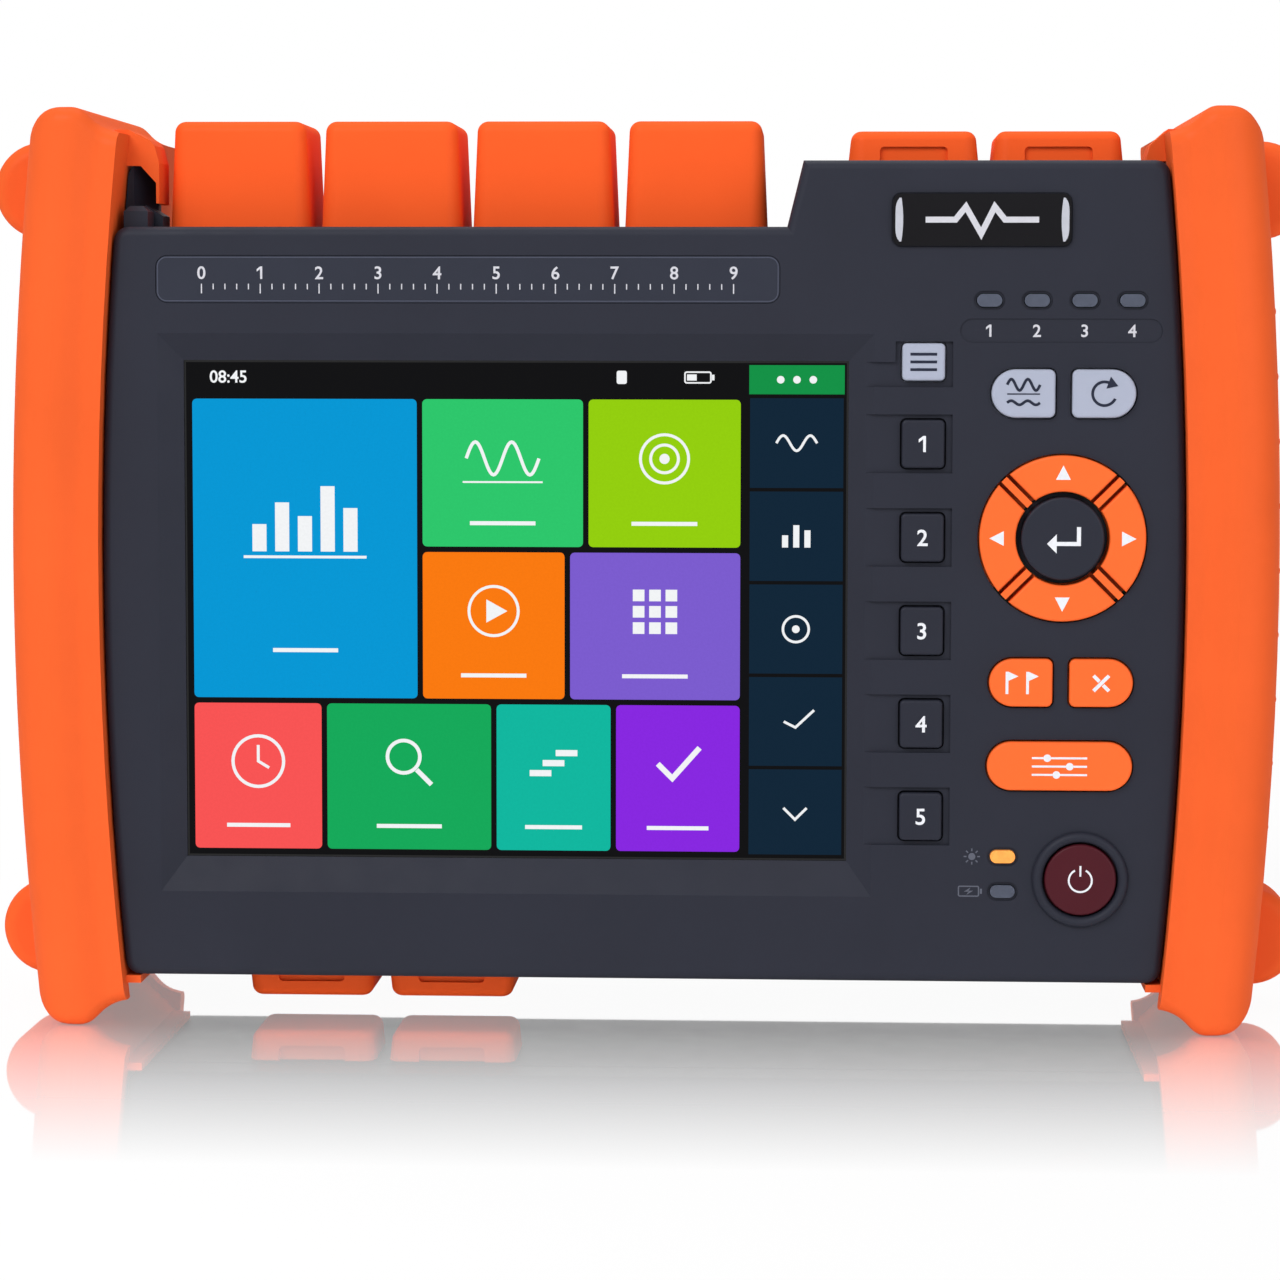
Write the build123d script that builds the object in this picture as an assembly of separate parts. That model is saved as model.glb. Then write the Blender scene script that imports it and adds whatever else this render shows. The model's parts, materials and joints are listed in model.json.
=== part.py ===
from build123d import *
from math import asin, atan2, degrees
import os

# Handheld optical time domain reflectometer, standing on its two side bumpers.
# Millimetres. X runs to the right seen from the front, Y into the back, Z up.
# The origin is the middle of the bottom of the bounding box.

# Overall
overall_depth = 73.6
overrun = 1.0
fit_gap = 0.25           # between pieces that are assembled and stay still
seat_gap = 0.3           # between a moving piece and what it rests on

# Screen opening, which the case is laid out around
screen_width = 131.4
screen_height = 98.8
screen_margin = 16.2     # case to the left of the opening
screen_below = 23.8      # case under the opening
screen_above = 39.1      # case over the opening
key_panel = 66.0         # case to the right of the opening
bevel_side = 4.9
bevel_top = 5.3
bevel_bottom = 6.8
bevel_depth = 2.2
window_border = 4.0
window_thickness = 1.8
lcd_thickness = 6.0
lcd_border = 3.0

# Case
case_bottom = 9.9
case_height = screen_below + screen_height + screen_above
case_half_mid = (screen_margin + screen_width + key_panel) / 2    # half width at mid height
bow_rise = 4.0           # the sides bow outwards by this much
case_half_end = case_half_mid - bow_rise
bumper_proud = 3.8       # bumpers stand this far out of the front and the back
bumper_above = 10.4      # and this far over the case's top
wall = 2.6
front_wall = 2.6
back_wall = 6.0
front_depth = 11.0
gasket_thickness = 0.8
gasket_inset = 0.8
case_edge = 1.8
case_corner = 3.0
step_drop = 12.9         # the left deck lies this far under the right one
step_left = 12.2         # the step's foot lies this far left of the key panel
step_run = 3.4
post_width = 8.6         # of the post beside the left deck
post_depth = 10.2
post_chamfer_x = 3.7
post_chamfer_y = 7.0

case_front = bumper_proud - overall_depth / 2
case_back = -case_front
case_top = case_bottom + case_height
case_mid_z = case_bottom + case_height / 2
left_deck_z = case_top - step_drop
parting_y = case_front + front_depth
rear_front = parting_y + gasket_thickness
front_inside = case_front + front_wall
bow_radius = ((case_height / 2) ** 2 + bow_rise ** 2) / (2 * bow_rise)
bow_axis_x = case_half_mid - bow_radius
far = case_half_mid + overall_depth    # past every piece, for cuts
screen_x = screen_margin + screen_width / 2 - case_half_mid
screen_z = case_bottom + screen_below + screen_height / 2
panel_left = screen_x + screen_width / 2
step_foot_x = panel_left - step_left
step_head_x = step_foot_x + step_run
post_right_x = post_width - case_half_mid

# Places of the keys and lights, as shares of the key panel's width and of the screen's height
soft_x_share = 0.2205
left_d_share = 0.5152
right_d_share = 0.753
dpad_x_share = 0.635
setup_x_share = 0.632
power_x_share = 0.6977
badge_x_share = 0.3894
status_x_share = 0.4136
status_pitch_share = 0.1403
on_light_x_share = 0.4667
pill_x_share = 0.6258
board_left_share = 0.1318
board_right_share = 0.8894
soft_top_share = 0.337
soft_pitch_share = 0.1857
menu_z_share = 0.499
upper_d_share = 0.4372
dpad_z_share = 0.1508
lower_d_share = -0.1361
setup_z_share = -0.3026
power_z_share = -0.5304

# Sizes that follow the key panel's width
d_width_share = 0.1879
setup_width_share = 0.4303
dpad_radius_share = 0.2464
dpad_inner_share = 0.5633    # of the ring's outer radius
pill_width_share = 0.5955
flap_width_share = 0.3894

# Keys
key_gap = 0.35
key_travel = 0.8
key_flange = 1.2         # thickness of the flange behind the front wall
key_lip = 1.0            # how far the flange reaches past the key
key_edge = 0.5
key_proud = 1.3
soft_key_width = 8.35
soft_key_height = 9.4
soft_key_corner = 0.9
soft_key_proud = 0.9
soft_key_x = panel_left + soft_x_share * key_panel
soft_key_top_z = screen_z + soft_top_share * screen_height
soft_key_pitch = soft_pitch_share * screen_height
soft_key_count = 5
pocket_depth = 0.7
pocket_reach = 5.75      # from the middle of a soft key to its pocket's right end
pocket_height = 11.5
menu_key_z = screen_z + menu_z_share * screen_height
menu_key_height = 7.25
menu_pocket_margin = 1.3
menu_channel_height = 4.9
d_key_width = d_width_share * key_panel
d_key_height = 9.4
d_key_corner = 1.2
d_key_left_x = panel_left + left_d_share * key_panel
d_key_right_x = panel_left + right_d_share * key_panel
upper_d_key_z = screen_z + upper_d_share * screen_height
lower_d_key_z = screen_z + lower_d_share * screen_height
setup_key_x = panel_left + setup_x_share * key_panel
setup_key_z = screen_z + setup_z_share * screen_height
setup_key_width = setup_width_share * key_panel
setup_key_height = 9.6
dpad_x = panel_left + dpad_x_share * key_panel
dpad_z = screen_z + dpad_z_share * screen_height
dpad_radius = dpad_radius_share * key_panel
dpad_inner_radius = dpad_inner_share * dpad_radius
dpad_bar = 1.4
dpad_groove = 0.75
dpad_back_ring = 3.8     # width of the arc keys' back, inside it they are open for the middle key
web_thickness = 1.0
enter_gap = 1.06
enter_radius = dpad_inner_radius - enter_gap
enter_skirt = 0.7
enter_proud = 1.7
power_x = panel_left + power_x_share * key_panel
power_z = screen_z + power_z_share * screen_height
power_radius = 7.05
power_ring_radius = 9.9
power_ring_height = 1.3
power_proud = 0.9
flange_front = front_inside + seat_gap
flange_back = flange_front + key_flange

# Lights
light_width = 4.9
light_height = 2.5
light_gap = 0.15
light_proud = 0.25
light_groove = 0.6
light_groove_depth = 0.35
status_light_x = panel_left + status_x_share * key_panel
status_light_drop = 27.2
status_light_pitch = status_pitch_share * key_panel
status_light_count = 4
on_light_x = panel_left + on_light_x_share * key_panel
on_light_rise = 4.4      # over the middle of the power key
charge_light_drop = 2.5
label_pill_x = panel_left + pill_x_share * key_panel
label_pill_drop = 33.1
label_pill_width = pill_width_share * key_panel
label_pill_height = 4.7
label_pill_depth = 0.25

# Plates
title_shift = 9.3        # the title plate's middle lies this far left of the screen's
title_drop = 10.3
title_short = 8.4        # and it is this much narrower than the screen
title_width = screen_width - title_short
title_height = 9.4
title_corner = 2.4
title_recess = 0.5
title_thickness = 0.4
title_x = screen_x - title_shift
title_z = left_deck_z - title_drop
badge_x = panel_left + badge_x_share * key_panel
badge_drop = 11.6
badge_z = case_top - badge_drop
badge_width = 34.6
badge_height = 10.1
badge_corner = 1.6
badge_thickness = 1.5
badge_crown = 0.5
badge_recess = 0.3

# Bumpers
bumper_height = case_bottom + case_height + bumper_above
bumper_width = 19.45     # from its inner face to its outer side, at mid height
lip_set_back = 0.9
valley_run = 3.75        # from the inner face to the valley of the front
valley_depth = 1.5
crest_run = 9.95         # from the inner face to the crest of the roll
roll_side = 0.8          # how far the side falls back where the roll meets it
roll_run = 9.5
lip_slope_share = 0.28
side_slope_share = 0.12
end_crest_run = 10.2     # from the case's end to the crest of the foot
end_crest_x = case_half_end + end_crest_run
foot_flat = 2.0
end_lip_run = 10.8
end_lip_drop = 5.0
end_swell_run = 5.3
end_swell_drop = 2.5
end_shoulder_run = 6.0
end_shoulder_drop = 2.3
end_side_run = 10.6
end_side_drop = 16.0
end_lip_slope_share = 0.2
end_side_slope_share = 0.1
end_lip_zone = 2.6       # the edges this near to the inner lip stay sharp
end_round = 3.0
relief_front = 6.5       # the foot's inside is cut away this far behind its front
relief_run = 0.6         # between the relief and the foot's crest
lobe_reach = 20.6        # from the case's end to the lobe's middle
lobe_x = case_half_end + lobe_reach
lobe_radius = 9.8
lobe_inset = 15.3        # from the bumper's end to the lobe's middle
lobe_back_inset = 22.8
lobe_length = 22.0
lobe_back = overall_depth / 2 - lobe_back_inset
lobe_front = lobe_back - lobe_length
lobe_round = 3.0
grip_rib_radius = 1.5
grip_rib_sunk = 0.7
grip_rib_length = 30.0
grip_rib_pitch = 12.9
grip_rib_count = 9
hood_lap = 1.4           # how far the left hood's front stands before the rear housing
hood_front = rear_front - hood_lap
hood_back = rear_front + post_depth
hood_height = 6.3
hood_wall = 1.35
hood_skirt = 0.6
hood_reach = 3.8         # how far the right hood runs in over the deck
hood_slope = 4.4
hood_shoulder = 0.9      # the hood's edge leans in by this much up to half its height
hood_cheek = 0.6         # thickness of the hood where it turns the post's corner
hood_cheek_drop = 3.4
under_lip = 1.5
under_lip_reach = 2.8
under_lip_inset = 1.0    # of its front, behind the case's front
under_lip_back = 6.2     # of its back, before the case's back

# Connector well and hinged covers
cover_set_back = 1.2
cover_front_y = rear_front + cover_set_back
cap_count = 4
cap_left_margin = 3.1
cap_right_margin = 4.3
cap_gap = 2.2
cap_field = step_foot_x - post_right_x - cap_left_margin - cap_right_margin
cap_width = (cap_field - (cap_count - 1) * cap_gap) / cap_count
cap_pitch = cap_width + cap_gap
cap_first_x = post_right_x + cap_left_margin + cap_width / 2
cap_depth = 27.7
cap_height = 21.3
cap_wall = 1.8
cap_draft = 2.6          # degrees
cap_corner = 3.4
cap_inner_corner = 1.6
cap_top_round = 2.2
flap_width = flap_width_share * key_panel
flap_depth = 22.0
flap_height = 6.3
flap_draft = 6.0         # degrees
flap_corner = 3.0
flap_top_round = 2.0
flap_wall = 1.4
flap_top_gap = 2.85
flap_top_start = -0.2    # left edge of the first top flap, from the key panel's left edge
flap_bottom_gap = 2.8
flap_bottom_start = 26.65    # left edge of the first bottom flap, from the case's side
notch_width = 13.4
notch_height = 3.2
notch_corner = 0.9
notch_depth = 1.2
plinth_margin = 2.35
plinth_width = flap_width - 2 * plinth_margin
plinth_depth = 17.0
plinth_height = 1.5
plinth_back_gap = 1.2
knuckle_radius = 2.2
knuckle_gap = 0.4
knuckle_width = 6.0
knuckle_root = 1.8       # how far a knuckle's web reaches into the cover
lug_width = 8.0
lug_gap = 0.3
pin_radius = 1.0
tight_fit = 0.02         # pins and screws that hold in their hole
pin_running = 0.08       # pins that a cover or the stand turns on

# Optical ports
port_y = cover_front_y + cap_depth / 2
port_flange = 13.4
port_flange_thickness = 1.6
port_flange_corner = 1.5
port_barrel_radius = 4.0
port_barrel_height = 9.0
port_barrel_chamfer = 0.5
port_well_radius = 3.0
port_well_depth = 1.0
ferrule_radius = 1.25
port_stem_radius = 4.5
port_stem_depth = 8.0
port_key_width = 2.1
port_key_depth = 2.0
meter_barrel_radius = 6.0
meter_barrel_height = 7.5
port_screw_radius = 0.9
port_screw_inset = 2.2
port_screw_height = 0.6

# Sockets under the flaps
socket_margin = 2.0
socket_width = plinth_width - 2 * socket_margin
socket_depth = 14.0
socket_height = 17.0
socket_y = cover_front_y + flap_wall + plinth_back_gap + plinth_depth / 2
usb_wall = 2.25
usb_width = socket_width - 2 * usb_wall
usb_height = 5.2
usb_pitch = 6.9
usb_deep = 12.0
usb_tongue_margin = 0.75
usb_tongue_width = usb_width - 2 * usb_tongue_margin
usb_tongue_thickness = 1.8
usb_tongue_offset = 1.0
usb_tongue_set_back = 1.0
rj_wall = 2.65
rj_width = socket_width - 2 * rj_wall
rj_height = 7.0
rj_latch_width = 6.4
rj_latch_height = 2.0
rj_deep = 12.5
dc_radius = 3.1
dc_deep = 10.0
dc_pin_radius = 1.0
dc_pin_length = 8.5

# Screws that hold the case together
screw_side_inset = 5.8
screw_low_rise = 7.6
screw_high_drop = 7.2
screw_seat_run = 21.2    # from the rear housing's front edge to the heads' seat
screw_x = case_half_end - screw_side_inset
screw_low_z = case_bottom + screw_low_rise
screw_high_z = left_deck_z - screw_high_drop
screw_between_x = cap_first_x + (cap_count - 1) * cap_pitch - cap_pitch / 2    # between two ports
screw_radius = 1.5
screw_head_radius = 2.75
screw_head_height = 2.5
screw_hole_gap = 0.15
screw_post_radius = 4.2
screw_boss_radius = 3.4
screw_seat_y = rear_front + screw_seat_run
screw_tip_gap = 0.8

# Boards and modules inside
board_thickness = 1.6
board_gap = 0.8
key_board_rise = 13.1
key_board_drop = 24.6
key_board_left = panel_left + board_left_share * key_panel
key_board_right = panel_left + board_right_share * key_panel
key_board_low = case_bottom + key_board_rise
key_board_high = case_top - key_board_drop
dome_radius = 2.4
dome_height = 0.8
key_board_front = flange_back + key_travel + seat_gap + dome_height
standoff_radius = 1.8
standoff_inset = 2.6
standoff_top_inset = 6.4
main_board_behind = 10.6    # behind the display module
main_board_rise = 20.1
main_board_drop = 12.7
main_board_y = front_inside + window_thickness + lcd_thickness + main_board_behind
main_board_half = screw_x - screw_post_radius - board_gap
main_board_low = case_bottom + main_board_rise
main_board_high = left_deck_z - main_board_drop
board_post_radius = 3.0
board_post_inset = 8.0
module_side_gap = 14.0
module_top_gap = 2.0
module_width = 113.0
module_height = 49.0
module_depth = 16.0
module_edge = 2.0

# Battery bay, on the back
bay_half = 46.0
bay_rise = 28.1
bay_height = 46.0
bay_front_gap = 0.6      # between the module's depth and the bay's wall
bay_low = case_bottom + bay_rise
bay_high = bay_low + bay_height
bay_wall = 1.8
bay_front_y = main_board_y + board_thickness + module_depth + bay_front_gap + bay_wall
door_margin = 4.0
door_ear = 8.0           # the door reaches this far past the bay at each side
door_thickness = 2.0
door_corner = 3.0
battery_gap = 0.4
door_screw_radius = 1.25
door_screw_head_radius = 2.4
door_screw_head_height = 1.1
door_screw_length = 4.0  # below the head

# Bail stand, folded into the back
stand_beside = 13.0      # clear space between the door and the stand's leg
stand_rise = 2.6
stand_height = 115.5     # from its lower edge to its hinge
stand_leg = 8.0
stand_half = bay_half + door_ear + stand_beside + stand_leg
stand_low_z = case_bottom + stand_rise
stand_top_z = stand_low_z + stand_height
stand_thickness = 4.0
stand_groove = 4.7
stand_gap = 0.6
stand_corner = 6.0
stand_flush = 0.2
stand_end_round = 1.9
stand_pin_radius = 1.0
stand_pin_length = 14.0
scoop_radius = 9.0
scoop_depth = 4.0

# Small boss and gusset beside the post
boss_left = 4.4          # from the post's right face
boss_right = 0.4
boss_height = 4.2
boss_depth = 7.0
boss_chamfer = 1.1
gusset_sunk = 1.5
gusset_run = 2.1
gusset_low = 2.4
gusset_high = 4.6
gusset_depth = 8.0


def facing_front(y):
    return Plane(origin=(0, y, 0), x_dir=(1, 0, 0), z_dir=(0, -1, 0))


def slab(outline, y_front, y_back):
    return extrude(facing_front(y_back) * outline, y_back - y_front)


def box_between(x0, x1, y0, y1, z0, z1):
    block = Box(x1 - x0, y1 - y0, z1 - z0, align=(Align.MIN, Align.MIN, Align.MIN))
    return Pos(x0, y0, z0) * block


def rod_along_x(x0, x1, y, z, radius):
    rod = extrude(Plane.YZ * Circle(radius), x1 - x0)
    return Pos(x0, y, z) * rod


def rod_along_y(x, z, y0, y1, radius):
    return slab(Pos(x, z) * Circle(radius), y0, y1)


def polygon(points):
    return make_face(Polyline(*points, close=True))


def front_edges(solid):
    return solid.faces().sort_by(Axis.Y)[0].edges()


# Outlines of the case seen from the front

def case_outline(inset):
    end = case_half_end - inset
    mid = case_half_mid - inset
    low = case_bottom + inset
    high = case_top - inset
    right = ThreePointArc((end, low), (mid, case_mid_z), (end, high))
    left = ThreePointArc((-end, high), (-mid, case_mid_z), (-end, low))
    return make_face([Line((-end, low), (end, low)), right, Line((end, high), (-end, high)), left])


def step_region(inset):
    low = left_deck_z - inset
    high = case_top + overrun
    foot = step_foot_x + inset
    head = step_head_x + inset
    return polygon([(-far, low), (foot, low), (head, high), (-far, high)])


def stepped_outline(inset):
    return case_outline(inset) - step_region(inset)


def is_outer_corner(edge):
    x, z = edge.center().X, edge.center().Z
    return abs(x) > case_half_end - case_corner and (z < case_mid_z or z > left_deck_z - overrun)


def round_long_corners(solid):
    return fillet(solid.edges().filter_by(Axis.Y).filter_by(is_outer_corner), case_corner)


# Outlines of the keys, each grown by a margin

def soft_outline(grow):
    return RectangleRounded(soft_key_width + 2 * grow, soft_key_height + 2 * grow, soft_key_corner + grow)


def menu_outline(grow):
    return RectangleRounded(soft_key_width + 2 * grow, menu_key_height + 2 * grow, soft_key_corner + grow)


def d_outline(grow, round_side):
    body = RectangleRounded(d_key_width + 2 * grow, d_key_height + 2 * grow, d_key_corner + grow)
    end_x = round_side * (d_key_width - d_key_height) / 2
    nose = Pos(end_x, 0) * Circle(d_key_height / 2 + grow)
    rest = Pos(end_x - round_side * d_key_width / 2, 0) * Rectangle(d_key_width, 2 * d_key_height)
    return body & (nose + rest)


def left_d_outline(grow):
    return d_outline(grow, -1)


def right_d_outline(grow):
    return d_outline(grow, 1)


def setup_outline(grow):
    return SlotOverall(setup_key_width + 2 * grow, setup_key_height + 2 * grow)


def power_outline(grow):
    return Circle(power_radius + grow)


def light_outline(grow):
    return SlotOverall(light_width + 2 * grow, light_height + 2 * grow)


# Every key with an opening of its own: outline, place and how far it stands out
plain_keys = {
    "menu_key": (menu_outline, soft_key_x, menu_key_z, soft_key_proud),
    "average_key": (left_d_outline, d_key_left_x, upper_d_key_z, key_proud),
    "auto_key": (right_d_outline, d_key_right_x, upper_d_key_z, key_proud),
    "marker_key": (left_d_outline, d_key_left_x, lower_d_key_z, key_proud),
    "escape_key": (right_d_outline, d_key_right_x, lower_d_key_z, key_proud),
    "setup_key": (setup_outline, setup_key_x, setup_key_z, key_proud),
    "power_key": (power_outline, power_x, power_z, power_proud),
}
for number in range(soft_key_count):
    soft_z = soft_key_top_z - number * soft_key_pitch
    plain_keys[f"soft_key_{number + 1}"] = (soft_outline, soft_key_x, soft_z, soft_key_proud)

status_xs = [status_light_x + i * status_light_pitch for i in range(status_light_count)]
status_lights = [(x, case_top - status_light_drop) for x in status_xs]
lone_lights = {"on_light_pipe": (on_light_x, power_z + on_light_rise),
               "charge_light_pipe": (on_light_x, power_z - charge_light_drop)}
screw_places = [(x, z) for x in (-screw_x, screw_x) for z in (screw_low_z, screw_high_z)]
screw_places += [(0, screw_low_z), (screw_between_x, screw_high_z)]
cap_places = [cap_first_x + i * cap_pitch for i in range(cap_count)]


# Front housing: a shallow tray with the screen frame, pockets, openings and bosses

def screen_cut():
    left = screen_x - screen_width / 2
    right = screen_x + screen_width / 2
    low = screen_z - screen_height / 2
    high = screen_z + screen_height / 2
    outer = polygon([(left - bevel_side, low - bevel_bottom), (right + bevel_side, low - bevel_bottom),
                     (right + bevel_side, high + bevel_top), (left - bevel_side, high + bevel_top)])
    inner = polygon([(left, low), (right, low), (right, high), (left, high)])
    floor = facing_front(case_front + bevel_depth) * inner
    funnel = loft([facing_front(case_front) * outer, floor], ruled=True)
    through = slab(inner, case_front - overrun, front_inside + overrun)
    return funnel + through


def pocket_cuts():
    start = panel_left
    right = soft_key_x + pocket_reach
    floor = case_front + pocket_depth
    low = case_front - overrun
    cuts = []
    for i in range(soft_key_count):
        z = soft_key_top_z - i * soft_key_pitch
        cuts.append(box_between(start, right, low, floor, z - pocket_height / 2, z + pocket_height / 2))
    menu_low = menu_key_z - menu_key_height / 2 - menu_pocket_margin
    menu_high = menu_key_z + menu_key_height / 2 + key_gap
    menu_left = soft_key_x - soft_key_width / 2 - menu_pocket_margin
    cuts.append(box_between(menu_left, right, low, floor, menu_low, menu_high))
    cuts.append(box_between(start, menu_left, low, floor, menu_low, menu_low + menu_channel_height))
    return cuts


def power_ring():
    middle = (power_radius + power_ring_radius) / 2
    half = (power_ring_radius - power_radius) / 2 - key_gap
    profile = Ellipse(half, power_ring_height)
    ring = revolve(Plane.XZ * (Pos(middle, 0) * profile), Axis.Z)
    return Pos(power_x, case_front, power_z) * Rot(90, 0, 0) * ring


def corner_boss():
    left = post_right_x - boss_left
    right = post_right_x + boss_right
    foot = left_deck_z - front_wall
    boss = box_between(left, right, parting_y - boss_depth, parting_y, foot, left_deck_z + boss_height)
    top = boss.faces().sort_by(Axis.Z)[-1]
    return chamfer(top.edges(), boss_chamfer)


def key_board_corners():
    xs = (key_board_left + standoff_inset, key_board_right - standoff_inset)
    zs = (key_board_low + standoff_inset, key_board_high - standoff_top_inset)
    return [(x, z) for x in xs for z in zs]


def make_front_housing():
    shell = round_long_corners(slab(stepped_outline(0), case_front, parting_y))
    shell = fillet(front_edges(shell), case_edge)
    shell -= slab(stepped_outline(wall), front_inside, parting_y + overrun)
    shell += corner_boss()
    shell += power_ring()
    for x, z in screw_places:
        shell += rod_along_y(x, z, front_inside, parting_y, screw_boss_radius)
    for x, z in key_board_corners():
        shell += rod_along_y(x, z, front_inside, key_board_front, standoff_radius)
    shell -= screen_cut()
    for cut in pocket_cuts():
        shell -= cut
    low = case_front - power_ring_height - overrun
    for outline, x, z, proud in plain_keys.values():
        shell -= slab(Pos(x, z) * outline(key_gap), low, front_inside + overrun)
    shell -= slab(Pos(dpad_x, dpad_z) * Circle(dpad_radius + key_gap), low, front_inside + overrun)
    for x, z in status_lights + list(lone_lights.values()):
        shell -= slab(Pos(x, z) * light_outline(light_gap), low, front_inside + overrun)
        shell -= slab(Pos(x, z) * light_outline(light_groove), low, case_front + light_groove_depth)
    pill = SlotOverall(label_pill_width, label_pill_height)
    shell -= slab(Pos(label_pill_x, case_top - label_pill_drop) * pill, low, case_front + label_pill_depth)
    title = RectangleRounded(title_width, title_height, title_corner)
    shell -= slab(Pos(title_x, title_z) * title, low, case_front + title_recess)
    badge = RectangleRounded(badge_width + 2 * fit_gap, badge_height + 2 * fit_gap, badge_corner + fit_gap)
    shell -= slab(Pos(badge_x, badge_z) * badge, low, case_front + badge_recess)
    for x, z in screw_places:
        shell -= rod_along_y(x, z, front_inside, parting_y + overrun, screw_radius + screw_hole_gap)
    return shell


# Rear housing: a deep shell with the connector well, covers' hinges, bays and posts

def post_plan(grow):
    front = rear_front - grow
    right = post_right_x + grow
    back = rear_front + post_depth + grow
    points = [(-far, front), (right - post_chamfer_x, front), (right, front + post_chamfer_y),
              (right, back), (-far, back)]
    return polygon(points)


def post_envelope(grow):
    height = step_drop + grow
    return Pos(0, 0, left_deck_z) * extrude(post_plan(grow), height)


def hinge_y(depth):
    return cover_front_y + depth + knuckle_gap + knuckle_radius


def hinge_height():
    return knuckle_gap + knuckle_radius


def hinge_lug(x, y, base_z, up):
    axis_z = base_z + up * hinge_height()
    half = lug_width / 2
    round_part = rod_along_x(x - half, x + half, y, axis_z, knuckle_radius)
    low, high = sorted((base_z - up * overrun, axis_z))
    foot = box_between(x - half, x + half, y - knuckle_radius, y + knuckle_radius, low, high)
    bore = rod_along_x(x - lug_width, x + lug_width, y, axis_z, pin_radius + tight_fit)
    return round_part + foot, bore


def flap_sites():
    first = panel_left + flap_top_start + flap_width / 2
    top = [(x, case_top, 1) for x in (first, first + flap_width + flap_top_gap)]
    first = flap_bottom_start + flap_width / 2 - case_half_mid
    bottom = [(x, case_bottom, -1) for x in (first, first + flap_width + flap_bottom_gap)]
    return top + bottom


def rear_shell():
    well = polygon([(post_right_x, left_deck_z), (step_foot_x, left_deck_z), (step_head_x, case_top + overrun),
                    (post_right_x, case_top + overrun)])
    body = round_long_corners(slab(case_outline(0), rear_front, case_back))
    back_edges = body.faces().sort_by(Axis.Y)[-1].edges()
    body = fillet(back_edges, case_edge)
    body -= slab(well, rear_front - overrun, case_back + overrun)
    post_region = box_between(-far, post_right_x, rear_front - overrun, case_back + overrun,
                              left_deck_z, case_top + overrun)
    body -= post_region - post_envelope(0)
    body -= slab(stepped_outline(wall), rear_front - overrun, case_back - back_wall)
    return body


def bay_outline(grow):
    return Pos(0, (bay_low + bay_high) / 2) * RectangleRounded(
        2 * (bay_half + grow), bay_high - bay_low + 2 * grow, door_corner + grow)


def stand_outline(grow):
    half = stand_half + grow
    inner = stand_half - stand_leg - grow
    low = stand_low_z - grow
    bar_top = stand_low_z + stand_leg + grow
    high = stand_top_z + stand_thickness / 2 + grow
    outer = polygon([(-half, low), (half, low), (half, high), (-half, high)])
    corners = outer.vertices().group_by(Axis.Y)[0]
    outer = fillet(corners, stand_corner + grow)
    gap = polygon([(-inner, bar_top), (inner, bar_top), (inner, high + overrun), (-inner, high + overrun)])
    return outer - gap


def make_rear_housing():
    body = rear_shell()
    for x, z in screw_places:
        body += rod_along_y(x, z, rear_front, case_back - wall, screw_post_radius)
    for x in (-main_board_half + board_post_inset, main_board_half - board_post_inset):
        for z in (main_board_low + board_post_inset, main_board_high - board_post_inset):
            body += rod_along_y(x, z, main_board_y + board_thickness, case_back - wall, board_post_radius)
    body += slab(bay_outline(bay_wall), bay_front_y - bay_wall, case_back - wall)
    body += gusset()
    for x, z, up in flap_sites():
        body += plinth(x, z, up)
        lug, bore = hinge_lug(x, hinge_y(flap_depth), z, up)
        body += lug
        body -= bore
        body -= socket_hole(x, z, up)
    for x in cap_places:
        lug, bore = hinge_lug(x, hinge_y(cap_depth), left_deck_z, 1)
        body += lug
        body -= bore
        stem = Pos(x, port_y, left_deck_z + overrun) * Cylinder(
            port_stem_radius + fit_gap, wall + 2 * overrun, align=(Align.CENTER, Align.CENTER, Align.MAX))
        body -= stem
    body -= slab(bay_outline(0), bay_front_y, case_back + overrun)
    body -= door_recess()
    body -= slab(stand_outline(stand_gap / 2), case_back - stand_groove, case_back + overrun)
    scoop = rod_along_y(0, stand_low_z + stand_leg, case_back - scoop_depth, case_back + overrun, scoop_radius)
    body -= scoop
    for side in (-1, 1):
        body -= stand_pin(side, tight_fit)
    for x, z in door_screw_places():
        tip = door_screw_seat_y() - door_screw_length - seat_gap
        body -= rod_along_y(x, z, tip, case_back, door_screw_radius + tight_fit)
    for x, z in screw_places:
        body -= rod_along_y(x, z, rear_front - overrun, case_back, screw_radius + screw_hole_gap)
        body -= rod_along_y(x, z, screw_seat_y, case_back + overrun, screw_head_radius + fit_gap)
    return body


def gusset():
    left = post_right_x - gusset_sunk
    right = post_right_x + gusset_run
    foot = left_deck_z - overrun
    points = [(left, foot), (right, foot), (right, left_deck_z + gusset_low), (left, left_deck_z + gusset_high)]
    return slab(polygon(points), rear_front, rear_front + gusset_depth)


def plinth(x, base_z, up):
    low, high = sorted((base_z - up * overrun, base_z + up * plinth_height))
    return box_between(x - plinth_width / 2, x + plinth_width / 2, socket_y - plinth_depth / 2,
                       socket_y + plinth_depth / 2, low, high)


def socket_hole(x, base_z, up):
    low, high = sorted((base_z - up * (wall + overrun), base_z + up * (plinth_height + overrun)))
    half_x = socket_width / 2 + fit_gap
    half_y = socket_depth / 2 + fit_gap
    return box_between(x - half_x, x + half_x, socket_y - half_y, socket_y + half_y, low, high)


# Sockets, modelled with the mouth at z = 0 facing up, then set in place

def place_socket(solid, x, base_z, up):
    lifted = Pos(x, socket_y, base_z + up * plinth_height)
    if up > 0:
        return lifted * solid
    return lifted * Rot(0, 180, 0) * solid


def socket_block():
    return Pos(0, 0, -socket_height / 2) * Box(socket_width, socket_depth, socket_height)


def mouth_cut(x, y, width, height, deep):
    return Pos(x, y, (overrun - deep) / 2) * Box(width, height, deep + overrun)


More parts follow.
